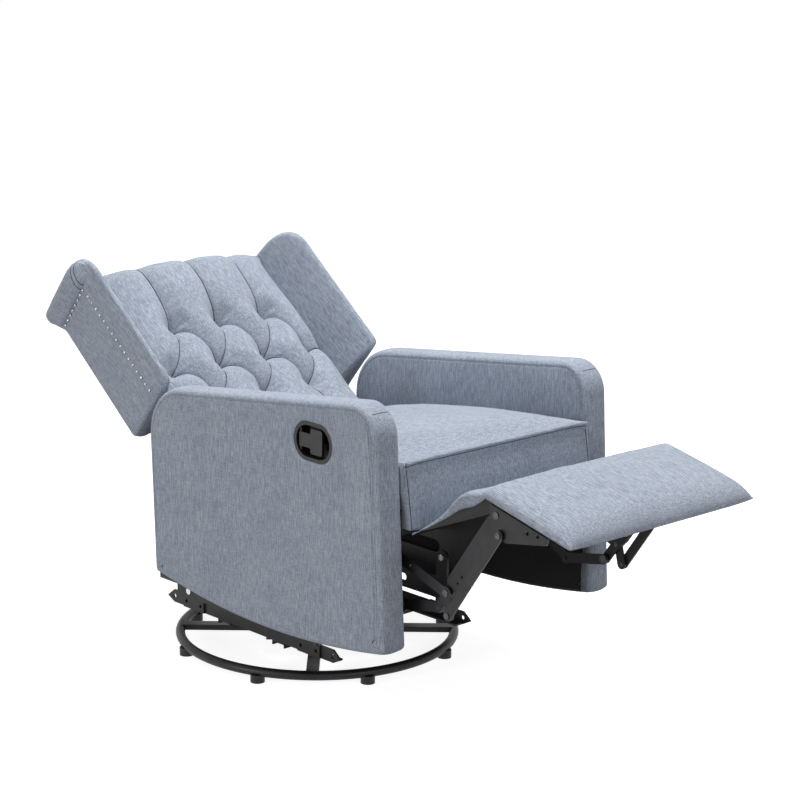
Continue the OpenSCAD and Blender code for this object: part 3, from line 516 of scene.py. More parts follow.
def fabric(name, along, tone=1.0, turn=0.0):
    """Two-tone woven cloth: long streaks along one axis, short ones across it, and fine grain"""
    mat, tree, shader = new_material(name)
    turned = tree.nodes.new("ShaderNodeMapping")
    put(turned, "Rotation", (-turn, 0.0, 0.0))
    tree.links.new(tree.nodes.new("ShaderNodeTexCoord").outputs["Object"], turned.inputs["Vector"])
    at = turned.outputs["Vector"]
    streaks = [560.0] * 3
    streaks[along] = 48.0
    wefts = [90.0] * 3
    wefts[along] = 700.0
    streak = add_noise(tree, streaks, 2.0, 0.65, at)
    weft = add_noise(tree, wefts, 2.0, 0.6, at)
    grain = add_noise(tree, 820.0, 2.0, 0.7, at)
    cloud = add_noise(tree, 9.0, 2.0, 0.5, at)
    mixed = math_node(tree, "MULTIPLY", streak, 0.46)
    for part, share in ((weft, 0.22), (grain, 0.26), (cloud, 0.06)):
        mixed = math_node(tree, "ADD", mixed, math_node(tree, "MULTIPLY", part, share))
    # A tone below 1 gives a darker copy of the cloth, which paints shade
    stops = [(place, tuple(c * tone for c in colour)) for place, colour in CLOTH_TONES]
    colour = ramp(tree, mixed, stops)
    tree.links.new(colour, shader.inputs["Base Color"])
    put(shader, "Roughness", 0.92)
    put(shader, "Specular IOR Level", 0.25)
    put(shader, "Sheen Weight", 0.15)
    put(shader, "Sheen Roughness", 0.5)
    add_bump(tree, shader, mixed, 0.5, 0.0012)
    return mat


def line_inner_face(mat):
    """Black lining cloth on the arm's inner face below the seat"""
    tree = mat.node_tree
    shader = tree.nodes["Principled BSDF"]
    woven = shader.inputs["Base Color"].links[0].from_socket
    coords = tree.nodes.new("ShaderNodeTexCoord")
    apart = tree.nodes.new("ShaderNodeSeparateXYZ")
    tree.links.new(coords.outputs["Object"], apart.inputs[0])
    across = math_node(tree, "ABSOLUTE", apart.outputs[0], 0.0)
    inner = math_node(tree, "LESS_THAN", across, (INNER_X + LINING_T) * MM)
    low = math_node(tree, "LESS_THAN", apart.outputs[2], LINING_Z * MM)
    behind = math_node(tree, "GREATER_THAN", apart.outputs[1], LINING_Y * MM)
    both = math_node(tree, "MULTIPLY", math_node(tree, "MULTIPLY", inner, low), behind)
    mix = tree.nodes.new("ShaderNodeMix")
    mix.data_type = "RGBA"
    tree.links.new(both, mix.inputs[0])
    tree.links.new(woven, mix.inputs[6])
    put(mix, 7, (0.014, 0.014, 0.015, 1))
    tree.links.new(mix.outputs[2], shader.inputs["Base Color"])
    return mat


def rough_between(tree, shader, value, low):
    """Roughness that varies over a span of 0.2"""
    rough = tree.nodes.new("ShaderNodeMapRange")
    put(rough, "To Min", low)
    put(rough, "To Max", low + 0.2)
    tree.links.new(value, rough.inputs["Value"])
    tree.links.new(rough.outputs[0], shader.inputs["Roughness"])


def steel(name):
    mat, tree, shader = new_material(name)
    fine = add_noise(tree, 260.0, 4.0, 0.7)
    broad = add_noise(tree, 22.0, 3.0, 0.6)
    colour = ramp(tree, broad, [(0.35, (0.006, 0.006, 0.007)), (0.70, (0.017, 0.017, 0.019))])
    tree.links.new(colour, shader.inputs["Base Color"])
    rough_between(tree, shader, fine, 0.34)
    put(shader, "Metallic", 0.2)
    put(shader, "Specular IOR Level", 0.35)
    add_bump(tree, shader, fine, 0.12, 0.0004)
    return mat


def bright_metal(name, low=(0.44, 0.44, 0.46), high=(0.72, 0.72, 0.74), rough_low=0.16):
    mat, tree, shader = new_material(name)
    tex = add_noise(tree, 180.0, 4.0, 0.7)
    tree.links.new(ramp(tree, tex, [(0.30, low), (0.65, high)]), shader.inputs["Base Color"])
    rough_between(tree, shader, tex, rough_low)
    put(shader, "Metallic", 1.0)
    return mat


def plastic(name):
    mat, tree, shader = new_material(name)
    grain = add_noise(tree, 900.0, 2.0, 0.6)
    broad = add_noise(tree, 40.0, 2.0, 0.5)
    colour = ramp(tree, broad, [(0.3, (0.006, 0.006, 0.007)), (0.7, (0.012, 0.012, 0.013))])
    tree.links.new(colour, shader.inputs["Base Color"])
    put(shader, "Roughness", 0.42)
    put(shader, "Specular IOR Level", 0.35)
    add_bump(tree, shader, grain, 0.25, 0.0003)
    return mat


def plain_grain(name, scale, detail, spread, dark, light, rough, strength, distance):
    """One noise that gives the colour and the relief"""
    mat, tree, shader = new_material(name)
    grain = add_noise(tree, scale, detail, spread)
    tree.links.new(ramp(tree, grain, [(0.3, dark), (0.7, light)]), shader.inputs["Base Color"])
    put(shader, "Roughness", rough)
    add_bump(tree, shader, grain, strength, distance)
    return mat


CLOTH_Z = fabric("weave_upright", 2)
CLOTH_Y = fabric("weave_lengthwise", 1)
CLOTH_X = fabric("weave_crosswise", 0)
# Darker copy of the lengthwise cloth: painted shade, for the tuft buttons that sit in the pockets
CLOTH_SHADED = fabric("weave_painted_shade", 1, 0.82)
CLOTH_BACK = fabric("weave_wings", 1, 1.0, BACK_TURN)
# Very dark copy of the cloth: painted shade, drawn as thin tubes along the seams and in the creases
SEAM_SHADE = fabric("painted_seam_shade", 1, 0.16)
ARM_CLOTH = line_inner_face(fabric("weave_arms", 2))
STEEL = steel("black_satin_steel")
BRIGHT = bright_metal("plated_steel")
CHROME = bright_metal("nailhead_metal", (0.20, 0.20, 0.21), (0.46, 0.46, 0.47), 0.12)
RIVET = bright_metal("dark_rivet_steel", (0.035, 0.035, 0.037), (0.11, 0.11, 0.115), 0.24)
WIRE = bright_metal("spring_wire", (0.30, 0.24, 0.13), (0.48, 0.38, 0.20), 0.25)
PLASTIC = plastic("grained_black_plastic")
LINING = plain_grain("black_lining_cloth", 600.0, 2.0, 0.6, (0.008, 0.008, 0.009), (0.028, 0.028, 0.030),
                     0.95, 0.4, 0.0006)
TIMBER = plain_grain("hardwood", (9.0, 160.0, 160.0), 4.0, 0.65, (0.30, 0.19, 0.10), (0.52, 0.37, 0.22),
                     0.7, 0.3, 0.0004)


def dress(piece, mat, body, node):
    """Give a piece its material, its body and the node that it stands for"""
    piece.data.materials.clear()
    piece.data.materials.append(mat)
    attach(piece, body)
    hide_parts(node)
    return piece


# Arms
def arm_bottom(s):
    return Vector((ARM_DEPTH * s, ARM_FOOT_Z - ARM_ARCH * (1 - (2 * s - 1) ** 2)))


def arm_outline():
    foot = [arm_bottom(s / 20) for s in range(1, 20)]
    rear_foot = arm_bottom(1)
    front_foot = arm_bottom(0)
    rear_top = Vector((ARM_DEPTH + ARM_REAR_LEAN, ARM_REAR_Z))
    front_top = Vector((ARM_FRONT_LEAN, ARM_FRONT_Z))
    rear_foot_arc = corner_arc(foot[-1], rear_foot, rear_top, ARM_FOOT_R)
    rear_arc = corner_arc(rear_foot, rear_top, front_top, ARM_REAR_R)
    front_arc = corner_arc(rear_top, front_top, front_foot, ARM_FRONT_R)
    front_foot_arc = corner_arc(front_top, front_foot, foot[0], ARM_FOOT_R)
    return foot + rear_foot_arc + rear_arc + front_arc + front_foot_arc


def arm_seam_share(p, k):
    """Depth of the edge seam (k = 0) and of the front panel's second one, which ends past the front"""
    low = arm_bottom(p[0] / ARM_DEPTH)[1]
    share = 0.25 + 0.75 * smooth_step((p[1] - low - 40) / 60)
    return share if k == 0 else share * smooth_step((ARM_FRONT_R - p[0]) / 20)


def make_arm(side):
    low = INNER_X if side > 0 else -HALF_W
    return padded_slab("arm_cover_" + SIDES[side], arm_outline(), low, ARM_T, 6.0, ARM_EDGE_R, 2.0 + side,
                       seams=(ARM_SEAM, ARM_FRONT_SEAM), seam_share=arm_seam_share, wave=1.0)


def oval(cy, cz, w, h, grow):
    """Two half circles and two straight runs"""
    r = h / 2 + grow
    reach = (w - h) / 2
    out = []
    for i in range(48):
        a = 2 * math.pi * i / 48
        out.append((cy + math.copysign(reach, math.cos(a)) + r * math.cos(a), cz + r * math.sin(a)))
    return out


def cut_lever_pocket(arm):
    ring = oval(LEVER_Y, LEVER_Z, LEVER_W, LEVER_H, POCKET_GAP)
    verts = []
    for x in (-HALF_W - 20, -HALF_W + POCKET_DEPTH):
        verts.extend((x, p[0], p[1]) for p in ring)
    cutter = add_mesh("lever_pocket_cutter", verts, capped_faces(2, len(ring)), ROW_MATRIX)
    cut = arm.modifiers.new("pocket", "BOOLEAN")
    cut.operation = "DIFFERENCE"
    cut.solver = "EXACT"
    cut.object = cutter
    apply_modifiers(arm)
    bpy.data.objects.remove(cutter)


def apply_modifiers(piece):
    bpy.context.view_layer.update()
    graph = bpy.context.evaluated_depsgraph_get()
    done = bpy.data.meshes.new_from_object(piece.evaluated_get(graph), depsgraph=graph)
    old = piece.data
    piece.modifiers.clear()
    piece.data = done
    bpy.data.meshes.remove(old)


def arm_cross_seam_shade(side):
    """Seam across the arm's top, where the front panel begins, drawn as a thin dark tube: painted shade along
    the seam
    """
    ring, normals = outline_ring(arm_outline(), 2.0)
    share = 0.22
    turn = np.array((ARM_FRONT_R * share + ARM_FRONT_LEAN * 0.9, ARM_FRONT_Z - ARM_FRONT_R * share))
    k = int(np.argmin(np.linalg.norm(ring - turn, axis=1)))
    line = []
    for i in range(31):
        t = 2 * i / 30 - 1
        p = ring[k] + normals[k] * (1.5 * (1 - t * t) + 0.1)
        line.append((side * (HALF_W - ARM_T / 2 + t * (ARM_T / 2 - ARM_EDGE_R)), p[0], p[1]))
    shaded_seam = tube("arm_cross_seam_shade_" + SIDES[side], line, SEAM_SHADE_R * 0.55, ROW_MATRIX)
    return dress(shaded_seam, SEAM_SHADE, "carriage", "arm_" + SIDES[side])


for side in SIDES:
    arm = make_arm(side)
    if side < 0:
        cut_lever_pocket(arm)
    dress(arm, ARM_CLOTH, "carriage", "arm_" + SIDES[side])
for side in SIDES:
    arm_cross_seam_shade(side)


# Seat cushion
SEAT_TOP_ROWS = 72
SEAT_FACE_ROWS = 24


def seat_edge(u):
    """How far the front face stands out and its edges pull in, at a share u of the half width"""
    return FACE_BULGE * (1 - abs(u) ** 6), SEAT_PULL * abs(u) ** 12


def seat_top(x, s):
    """Height of the seat at x across, at a share s of its depth"""
    rim = 1 - abs(x / SOFT_X) ** 2.6
    swell = math.sin(math.pi * clamp(s * 0.86 + 0.07)) ** 0.6
    lead = math.sin(math.pi * 0.07) ** 0.6 * (1 - smooth_step(s * 8))
    return SEAT_FRONT_Z - SEAT_FALL * s + SEAT_CROWN * rim * (swell - lead)


def seat_ring(u):
    """Section of the seat from its underside over the top and down the front face"""
    x = u * SOFT_X
    out, edge = seat_edge(u)
    calm = 1 - abs(u) ** 8
    rear = SEAT_DEPTH - edge
    points = [(SKIRT_T, SEAT_SKIRT_Z + edge), (SKIRT_T, SEAT_LOW_Z), (rear, SEAT_LOW_Z)]
    points.append((rear, SEAT_LOW_Z + 0.6 * (seat_top(x, 1) - SEAT_LOW_Z)))
    for i in range(SEAT_TOP_ROWS, -1, -1):
        s = i / SEAT_TOP_ROWS
        y = SEAT_LEAN + s * (rear - SEAT_LEAN)
        z = seat_top(x, s) - edge + cloth_waves(x, y, SEAT_WAVES) * calm * smooth_step(s * 10)
        points.append((y, z))
    for t in (0.0, 0.35, 0.7, 1.0):
        a = math.pi / 2 * t
        y = SEAT_LEAN - 1 - (2.5 + out * 0.3) * math.sin(a)
        points.append((y, SEAT_FRONT_Z - 1 - edge - 5 * (1 - math.cos(a))))
    for i in range(1, SEAT_FACE_ROWS + 1):
        t = 1 - i / SEAT_FACE_ROWS
        y = SEAT_LEAN * t - out * (1 - (2 * t - 1) ** 2) ** 0.7 - 1
        y -= 1.2 * soft_noise((x, i * 5, 3), 40, 8.0) * calm
        z = SEAT_SKIRT_Z + edge + t * (SEAT_FRONT_Z - 7 - SEAT_SKIRT_Z - edge)
        points.append((y, z))
    return [(x, p[0], p[1]) for p in points]


ACROSS = 88


def across_stations():
    """Shares of the half width, closer together at the sides"""
    out = []
    for i in range(ACROSS + 1):
        t = 2 * i / ACROSS - 1
        out.append(math.copysign(1 - (1 - abs(t)) ** 1.25, t))
    return out


def loft(name, rings, matrix):
    """Closed skin through rings of equal length"""
    verts = [p for ring in rings for p in ring]
    return add_mesh(name, verts, capped_faces(len(rings), len(rings[0])), matrix)


seat = loft("seat_cover", [seat_ring(u) for u in across_stations()], ROW_MATRIX)
dress(seat, CLOTH_Z, "carriage", "seat_cushion")


def seat_welt_path():
    path = []
    for i in range(81):
        u = 2 * i / 80 - 1
        x = u * (SOFT_X - WELT_R)
        out, edge = seat_edge(u)
        z = SEAT_FRONT_Z - 2.6 - edge + 0.3 * soft_noise((x, 0, 0), 20, 1.0)
        path.append((x, SEAT_LEAN - 5.0 - out * 0.3, z))
    return path


seat_welt = tube("seat_welt", seat_welt_path(), WELT_R, ROW_MATRIX, 10)
dress(seat_welt, CLOTH_X, "carriage", "seat_cushion")
# Dark tubes of painted shade: the shadow under the welt, and thin dark lines at the front face's two side
# seams
seat_seam_shades = [[(x, y + 2.0, z - WELT_R - 0.9) for x, y, z in seat_welt_path()]]
for u in (-0.975, 0.975):
    seat_seam_shades.append([(x, y - 0.4, z) for x, y, z in seat_ring(u)[1 - SEAT_FACE_ROWS:]])
for k, line in enumerate(seat_seam_shades):
    seat_seam_shade = tube(f"seat_seam_shade_{k}", line, WELT_SHADOW_R if k == 0 else 0.6 * SEAM_SHADE_R, ROW_MATRIX)
    dress(seat_seam_shade, SEAM_SHADE, "carriage", "seat_cushion")


# Back cushion
def curve_through(points, per):
    """Smooth curve through points, with some steps to each span"""
    pts = [np.array(p, float) for p in points]
    pts = [2 * pts[0] - pts[1]] + pts + [2 * pts[-1] - pts[-2]]
    out = []
    for i in range(1, len(pts) - 2):
        p0, p1, p2, p3 = pts[i - 1:i + 3]
        for k in range(per):
            t = k / per
            out.append(0.5 * ((2 * p1) + (p2 - p0) * t + (2 * p0 - 5 * p1 + 4 * p2 - p3) * t * t
                              + (3 * p1 - p0 - 3 * p2 + p3) * t ** 3))
    out.append(pts[-2])
    return [tuple(p) for p in out]


TUFTS = [(u, 0) for u in (0, 1, -1)] + [(u, -1) for u in (0.5, -0.5, 1.5, -1.5)]
TUFTS += [(u, -2) for u in (0, 1, -1)]
TUFT_AT = [(TUFT_X * u, TUFT_ROWS[v]) for u, v in TUFTS]
DEEP = 1.0
SHALLOW = 0.7
FAINT = 0.5


def crease_lines():
    """Sewn creases of the back as (points, strength): head channels, then the diamonds' pleats"""
    lines = []
    for u in (-1, 0, 1):
        x = TUFT_X * u
        lines.append(([(x, TUFT_TOP), (x, BACK_LEN + 40)], DEEP))
        lines.append(([(x, TUFT_ROWS[-2]), (x, CUSHION_LOW - 40)], FAINT))
    for u, v in TUFTS:
        if v > -2:
            x, d = TUFT_X * u, TUFT_ROWS[v]
            fall = (TUFT_ROWS[v] - TUFT_ROWS[v - 1]) / 100
            low = (TUFT_X / 2, -100 * fall)
            far = [(0, 0), (17, -8 * fall), (37, -26 * fall), (52, -55 * fall), low]
            near = [(0, 0), (-9, -27 * fall), (-24, -56 * fall), (-45, -84 * fall), (-low[0], low[1])]
            for bend, strength in ((far, DEEP), (near, SHALLOW)):
                if abs(x + bend[-1][0]) < CUSHION_X:
                    path = curve_through([(x + a, d + b) for a, b in bend], 4)
                    lines.append((path, strength))
    for side in (-1, 1):
        lines.append(([(side * TUFT_X * 1.5, TUFT_ROWS[-1]), (side * CUSHION_X, TUFT_ROWS[-1] + 6)], DEEP))
    return lines


def line_distance(x, d, path):
    best = 1e9
    for (ax, ad), (bx, bd) in zip(path, path[1:]):
        ux, ud = bx - ax, bd - ad
        t = clamp(((x - ax) * ux + (d - ad) * ud) / (ux * ux + ud * ud))
        best = min(best, (x - ax - t * ux) ** 2 + (d - ad - t * ud) ** 2)
    return math.sqrt(best)


# Widths of a crease's notch and valley, and of a button's dimple and pit, with their shares of the depth
NOTCH_WIDE, NOTCH_SHARE = 2.6, 0.27
VALLEY_WIDE, VALLEY_SHARE = 22.0, 0.42
DIMPLE_WIDE, DIMPLE_SHARE = 26.0, 0.38
PIT_WIDE, PIT_SHARE = 10.0, 0.24
CREASE_REACH = 90.0


def cushion_out(x, d):
    """Height of the tufted face over the back's own plane"""
    v = (d - TUFT_TOP) / TUFT_Y
    side = 1 - abs(x / CUSHION_X) ** 7
    head = smooth_step((d - TUFT_TOP) / (BACK_LEN - 75 - TUFT_TOP))
    foot = smooth_step((-2.2 - v) / 1.2)
    near = min(math.hypot(x - tx, d - td) for tx, td in TUFT_AT)
    notch = 1.0
    swell = 1.0
    for path, strength in CREASES:
        if min(p[0] for p in path) - CREASE_REACH < x < max(p[0] for p in path) + CREASE_REACH:
            gap = line_distance(x, d, path)
            notch *= 1 - strength * math.exp(-gap / NOTCH_WIDE)
            swell *= 1 - (0.6 + 0.4 * strength) * bell(gap, VALLEY_WIDE)
    fall = NOTCH_SHARE * (1 - notch) + VALLEY_SHARE * (1 - swell)
    fall += DIMPLE_SHARE * bell(near, DIMPLE_WIDE) + PIT_SHARE * bell(near, PIT_WIDE)
    arched = HEAD_OUT - HEAD_ARCH * (x / CUSHION_X) ** 2
    crest = CUSHION_MID_OUT + (arched - CUSHION_MID_OUT) * head + (CUSHION_LOW_OUT - CUSHION_MID_OUT) * foot
    depth = TUFT_DEPTH * (1 - 0.3 * head) * (1 - 0.5 * foot)
    return CUSHION_SIDE_OUT + (crest - depth * fall - CUSHION_SIDE_OUT) * side


def tuft_folds(x, d):
    """Short folds that run out from each button"""
    total = 0.0
    for k, (tx, td) in enumerate(TUFT_AT):
        r = math.hypot(x - tx, d - td)
        if r < 75:
            a = math.atan2(d - td, x - tx)
            depth = 0.7 + 0.6 * soft_noise((x, d, k), 30)
            total += 1.5 * bell(r - 20, 17) * math.cos(9 * a + k) * depth
    return total


CREASES = crease_lines()
CUSHION_TOP = BACK_LEN - 52
CUSHION_ROWS = 200


def cover_out(x, d):
    calm = 1 - abs(x / CUSHION_X) ** 10
    waves = tuft_folds(x, d) + cloth_waves(x, d, BACK_WAVES)
    return cushion_out(x, d) - 5 * abs(x / CUSHION_X) ** 16 + calm * waves


def cushion_ring(x):
    e = 5 * abs(x / CUSHION_X) ** 16
    calm = 1 - abs(x / CUSHION_X) ** 10
    ring = []
    for i in range(CUSHION_ROWS + 1):
        d = CUSHION_LOW + (CUSHION_TOP - CUSHION_LOW) * i / CUSHION_ROWS
        ring.append((x, d, cover_out(x, d)))
    last_out = cushion_out(x, CUSHION_TOP)
    for a in range(6, 91, 6):
        t = math.radians(a)
        ring.append((x, CUSHION_TOP + (BACK_LEN - CUSHION_TOP) * math.sin(t),
                     last_out + (-30 - last_out) * (1 - math.cos(t)) - e))
    tail = curve_through([
        (BACK_LEN, -30), (BACK_LEN + ROLL_RISE * 0.7, -BACK_FACE * 0.7),
        (BACK_LEN + ROLL_RISE - 8, -BACK_FACE - ROLL_OUT + 14), (BACK_LEN - 16, -BACK_FACE - ROLL_OUT),
        (ROLL_LOW + 12, -BACK_FACE - ROLL_OUT + 2), (ROLL_LOW + 1, -BACK_FACE - 8)], 6)[1:]
    for d, out in tail:
        sag = 0.8 * soft_noise((x, d, out), 60, 3.0) * calm
        ring.append((x, d + sag * 0.5, out + sag - e * 0.2))
    ring.append((x, ROLL_LOW, CUSHION_BACK))
    ring.append((x, CUSHION_LOW, CUSHION_BACK))
    return ring


def cushion_stations():
    inner = [CUSHION_X * (2 * i / 196 - 1) * 0.985 for i in range(197)]
    rim = [CUSHION_X * s for s in (0.9875, 0.99, 0.993, 0.996, 0.9985, 1.0)]
    return [-s for s in reversed(rim)] + inner + rim


back = loft("back_cover", [cushion_ring(x) for x in cushion_stations()], BACK_MATRIX)
dress(back, CLOTH_Y, "back", "back_cushion")


def dome(profile, count):
    """Round form from a profile of (radius, height)"""
    verts = []
    for r, h in profile:
        for k in range(count):
            a = 2 * math.pi * k / count
            verts.append((r * math.cos(a), r * math.sin(a), h))
    return verts, capped_faces(len(profile), count)


def scatter(name, profile, count, places, matrix, axes):
    """One mesh of many round forms, each turned so that its height runs along an axis"""
    shape, shape_faces = dome(profile, count)
    verts = []
    faces = []
    for (x, y, z), (a, b, c) in zip(places, axes):
        first = len(verts)
        for v in shape:
            p = Vector((x, y, z)) + Vector(a) * v[0] + Vector(b) * v[1] + Vector(c) * v[2]
            verts.append(tuple(p))
        faces.extend(tuple(first + i for i in f) for f in shape_faces)
    return add_mesh(name, verts, faces, matrix)


BUTTON = [(0.1, -4.0), (4.6, -4.0), (5.6, -2.8), (BUTTON_R, -1.0), (5.7, 0.7), (4.8, 1.9), (3.2, 2.7),
          (1.4, 3.1), (0.2, 3.2)]
button_places = [(x, d, cushion_out(x, d)) for x, d in TUFT_AT]
flat_axes = [((1, 0, 0), (0, 1, 0), (0, 0, 1))] * len(button_places)
buttons = scatter("tuft_buttons", BUTTON, 28, button_places, BACK_MATRIX, flat_axes)
# The buttons get the darker cloth: painted shade of the tuft pockets
dress(buttons, CLOTH_SHADED, "back", "back_cushion")


OVER_TOP = 33
LINE_HALF = 1.4


def crease_shade_lines():
    """The dark line of each sewn crease, a thin dark tube in its bottom that paints the fold's shade; the
    head channels' lines run on over the top
    """
    for k, (path, strength) in enumerate(CREASES):
        if len(path) == 2:
            (x0, d0), (x1, d1) = path
            path = [(x0 + (x1 - x0) * i / 60, d0 + (d1 - d0) * i / 60) for i in range(61)]
        shown = [(x, d) for x, d in path if CUSHION_LOW + 4 < d < CUSHION_TOP and abs(x) < CUSHION_X - 3]
        line = []
        for i, (x, d) in enumerate(shown):
            (x0, d0), (x1, d1) = shown[max(0, i - 1)], shown[min(len(shown) - 1, i + 1)]
            run = math.hypot(x1 - x0, d1 - d0)
            nx, nd = -(d1 - d0) / run * LINE_HALF, (x1 - x0) / run * LINE_HALF
            line.append((x, d, (cover_out(x + nx, d + nd) + cover_out(x - nx, d - nd)) / 2 + 0.4))
        if path[-1][1] > BACK_LEN:
            ring = cushion_ring(path[0][0] + 1.2)
            line += [(path[0][0], d, out) for x, d, out in ring[CUSHION_ROWS + 1:][:OVER_TOP]]
        if strength == SHALLOW:
            line = line[len(line) // 4:]
        r = SEAM_SHADE_R if strength == DEEP else 0.6 * SEAM_SHADE_R
        # Painted shade: the dark tube stands for the shade deep in the crease
        shade_tube = tube(f"crease_shade_line_{k}", line, r, BACK_MATRIX)
        dress(shade_tube, SEAM_SHADE, "back", "back_cushion")


crease_shade_lines()


# Wings
ROLL_LOW_D = BACK_LEN - ROLL_H + ROLL_START
ROLL_HIGH_D = BACK_LEN + ROLL_TOP
ROLL_BACK = -BACK_FACE - ROLL_OUT


def wing_outline():
    return rounded([
        (WING_LOW, -BACK_FACE, WING_R), (WING_LOW, WING_OUT, WING_R), (ROLL_HIGH_D, WING_OUT, TOP_R),
        (ROLL_HIGH_D - 4, ROLL_BACK, ROLL_REAR_R), (ROLL_LOW_D + 28, ROLL_BACK + 2, 16),
        (ROLL_LOW_D - 12, -BACK_FACE, 24)])


def from_back(v):
    """Point of the back's frame (x, along, out) in the row's frame"""
    d, out = v[1], v[2]
    return (v[0], RECLINE_Y + d * math.cos(BACK_TURN) - out * math.sin(BACK_TURN),
            RECLINE_Z + d * math.sin(BACK_TURN) + out * math.cos(BACK_TURN))


NAIL_LINE = BACK_LEN - ROLL_H + ROLL_START - NAIL_R - 1
NAIL_START = Vector((NAIL_LINE - 2, 15 - BACK_FACE))
NAIL_CORNER = Vector((NAIL_LINE, WING_OUT - NAIL_BAND - 5))
NAIL_FINISH = Vector((WING_LOW + 26, WING_OUT - NAIL_BAND))


def nail_points():
    top = [NAIL_START.lerp(NAIL_CORNER, i / NAIL_ROW) for i in range(NAIL_ROW)]
    first = NAIL_CORNER + Vector((-4.0, 3.0))
    side = [NAIL_CORNER] + [first.lerp(NAIL_FINISH, i / NAIL_COLUMN) for i in range(1, NAIL_COLUMN + 1)]
    return top + side


def line_gap(p, a, b):
    t = clamp((Vector(p) - a).dot(b - a) / (b - a).length_squared)
    return (Vector(p) - a.lerp(b, t)).length


BAND_FOOT = Vector((WING_LOW + 2, WING_OUT - NAIL_BAND))


def wing_rise(outer):
    """The wrapped front band's step and the groove under the nails, on the outer face"""
    def rise(p, side):
        if side != outer:
            return 0.0
        gap = min(line_gap(p, NAIL_CORNER, BAND_FOOT), line_gap(p, NAIL_START, NAIL_CORNER))
        band = BAND_STEP * smooth_step((p[1] - NAIL_FINISH.y) / 6) * smooth_step((BACK_LEN - 20 - p[0]) / 60)
        return band - BAND_GROOVE * bell(gap, GROOVE_WIDE)
    return rise


def band_points():
    """Mesh points beside the band's line, so that its groove is sharp"""
    out = []
    for a, b in ((NAIL_START, NAIL_CORNER), (NAIL_CORNER, BAND_FOOT)):
        run = (b - a).length
        along = (b - a) / run
        across = Vector((-along.y, along.x))
        for i in range(int(run / 5)):
            for off in (-7, -3.5, -1.5, 0, 1.5, 3.5, 7):
                out.append(tuple(a + along * (5 * i) + across * off))
    return out


def wing_flare(side):
    """The wing thins towards its front edge, from the inner face"""
    outer = side * (WING_X + WING_T)

    def warp(v):
        lean = clamp((v[2] - CUSHION_SIDE_OUT) / (WING_OUT - CUSHION_SIDE_OUT))
        return from_back((outer - (outer - v[0]) * (1 - lean * (WING_T - WING_FRONT_T) / WING_T), v[1], v[2]))
    return warp


def make_wing(side):
    low = WING_X if side > 0 else -WING_X - WING_T
    points = band_points()
    extra = ((), points) if side > 0 else (points, ())
    wing = padded_slab("wing_cover_" + SIDES[side], wing_outline(), low, WING_T, 5.0, WING_EDGE_R, 5.0 + side,
                       strip_crown=2.5, rise=wing_rise(side), extra=extra, warp=wing_flare(side))
    dress(wing, CLOTH_BACK, "back", "wing_" + SIDES[side])


def roll_high(out):
    """Top edge of the roll's end: the wing's rounded top, a little inside it"""
    centre = WING_OUT - TOP_R
    top = ROLL_HIGH_D - TOP_R + math.sqrt(max(0.0, TOP_R ** 2 - max(0.0, out - centre) ** 2))
    return top - 4.0 - 2.0 * smooth_step((-out - 90) / 60)


def roll_point(side, u, out):
    """Point of the bolster's skin: u from its low edge to its high one"""
    v = 2 * u - 1
    ahead = out - ROLL_FRONT - ROLL_SWEEP * u ** 1.5
    fade = 1 - smooth_step(ahead / ROLL_FADE)
    rear = clamp((out - ROLL_BACK - 2.0) / ROLL_END)
    end = math.sqrt(1 - (1 - rear) ** 2)
    swell = max(0.0, 1 - abs(v) ** 2.4) ** 0.6
    h = ROLL_BULGE * swell * fade * end
    for at in (0.0, -ROLL_SEAM):
        h -= ROLL_GROOVE * bell(ahead - at, ROLL_GROOVE) * swell
    h += 0.6 * soft_noise((u * 70, out, 3), 34, 9.0) * swell * end
    low = ROLL_LOW_D - 1 + 1.2 * max(0.0, -BACK_FACE + 4 - out) + 3 * (1 - end) ** 1.5
    high = roll_high(out) - 8 * (1 - end) ** 1.5
    return (side * (WING_X + WING_T - 1.2 + h), low + (high - low) * u, out)


def make_facing(side):
    """Stuffed bolster at the end of the back's roll, with its two sewn seams, each drawn as a thin dark tube
    of painted shade
    """
    node = "roll_facing_" + SIDES[side]
    front = ROLL_FRONT + ROLL_SWEEP + 16
    rear = ROLL_BACK + 2.2
    cols, rows = 90, 34
    verts = []
    for k in (0, 1):
        for i in range(cols + 1):
            out = rear + (front - rear) * i / cols
            for j in range(rows + 1):
                p = roll_point(side, (1 - math.cos(math.pi * j / rows)) / 2, out)
                verts.append(from_back(p if k == 0 else (side * (WING_X + WING_T - 4), p[1], p[2])))
    facing = add_mesh("roll_end_" + SIDES[side], verts, sheet_faces(cols, rows), ROW_MATRIX)
    dress(facing, CLOTH_BACK, "back", node)
    for k, at in enumerate((0.0, -ROLL_SEAM)):
        line = []
        for j in range(41):
            u = 0.01 + 0.98 * j / 40
            line.append(from_back(roll_point(side, u, ROLL_FRONT + ROLL_SWEEP * u ** 1.5 + at)))
        shaded_seam = tube(f"roll_seam_shade_{SIDES[side]}_{k}", line, SEAM_SHADE_R, ROW_MATRIX)
        dress(shaded_seam, SEAM_SHADE, "back", node)


NAIL = [(0.1, -1.5), (3.2, -1.0), (NAIL_R + 0.2, 0.2), (NAIL_R, 0.9), (2.9, 1.8), (1.9, 2.4), (0.9, 2.7),
        (0.1, 2.8)]


def make_nails(side):
    face = side * (WING_X + WING_T + 0.4)
    places = [(face, p.x, p.y) for p in nail_points()]
    axes = [((0, side, 0), (0, 0, 1), (side, 0, 0))] * len(places)
    nails = scatter("nails_" + SIDES[side], NAIL, 14, places, BACK_MATRIX, axes)
    return dress(nails, CHROME, "back", "nailheads_" + SIDES[side])


for side in SIDES:
    make_wing(side)
    make_facing(side)
    make_nails(side)


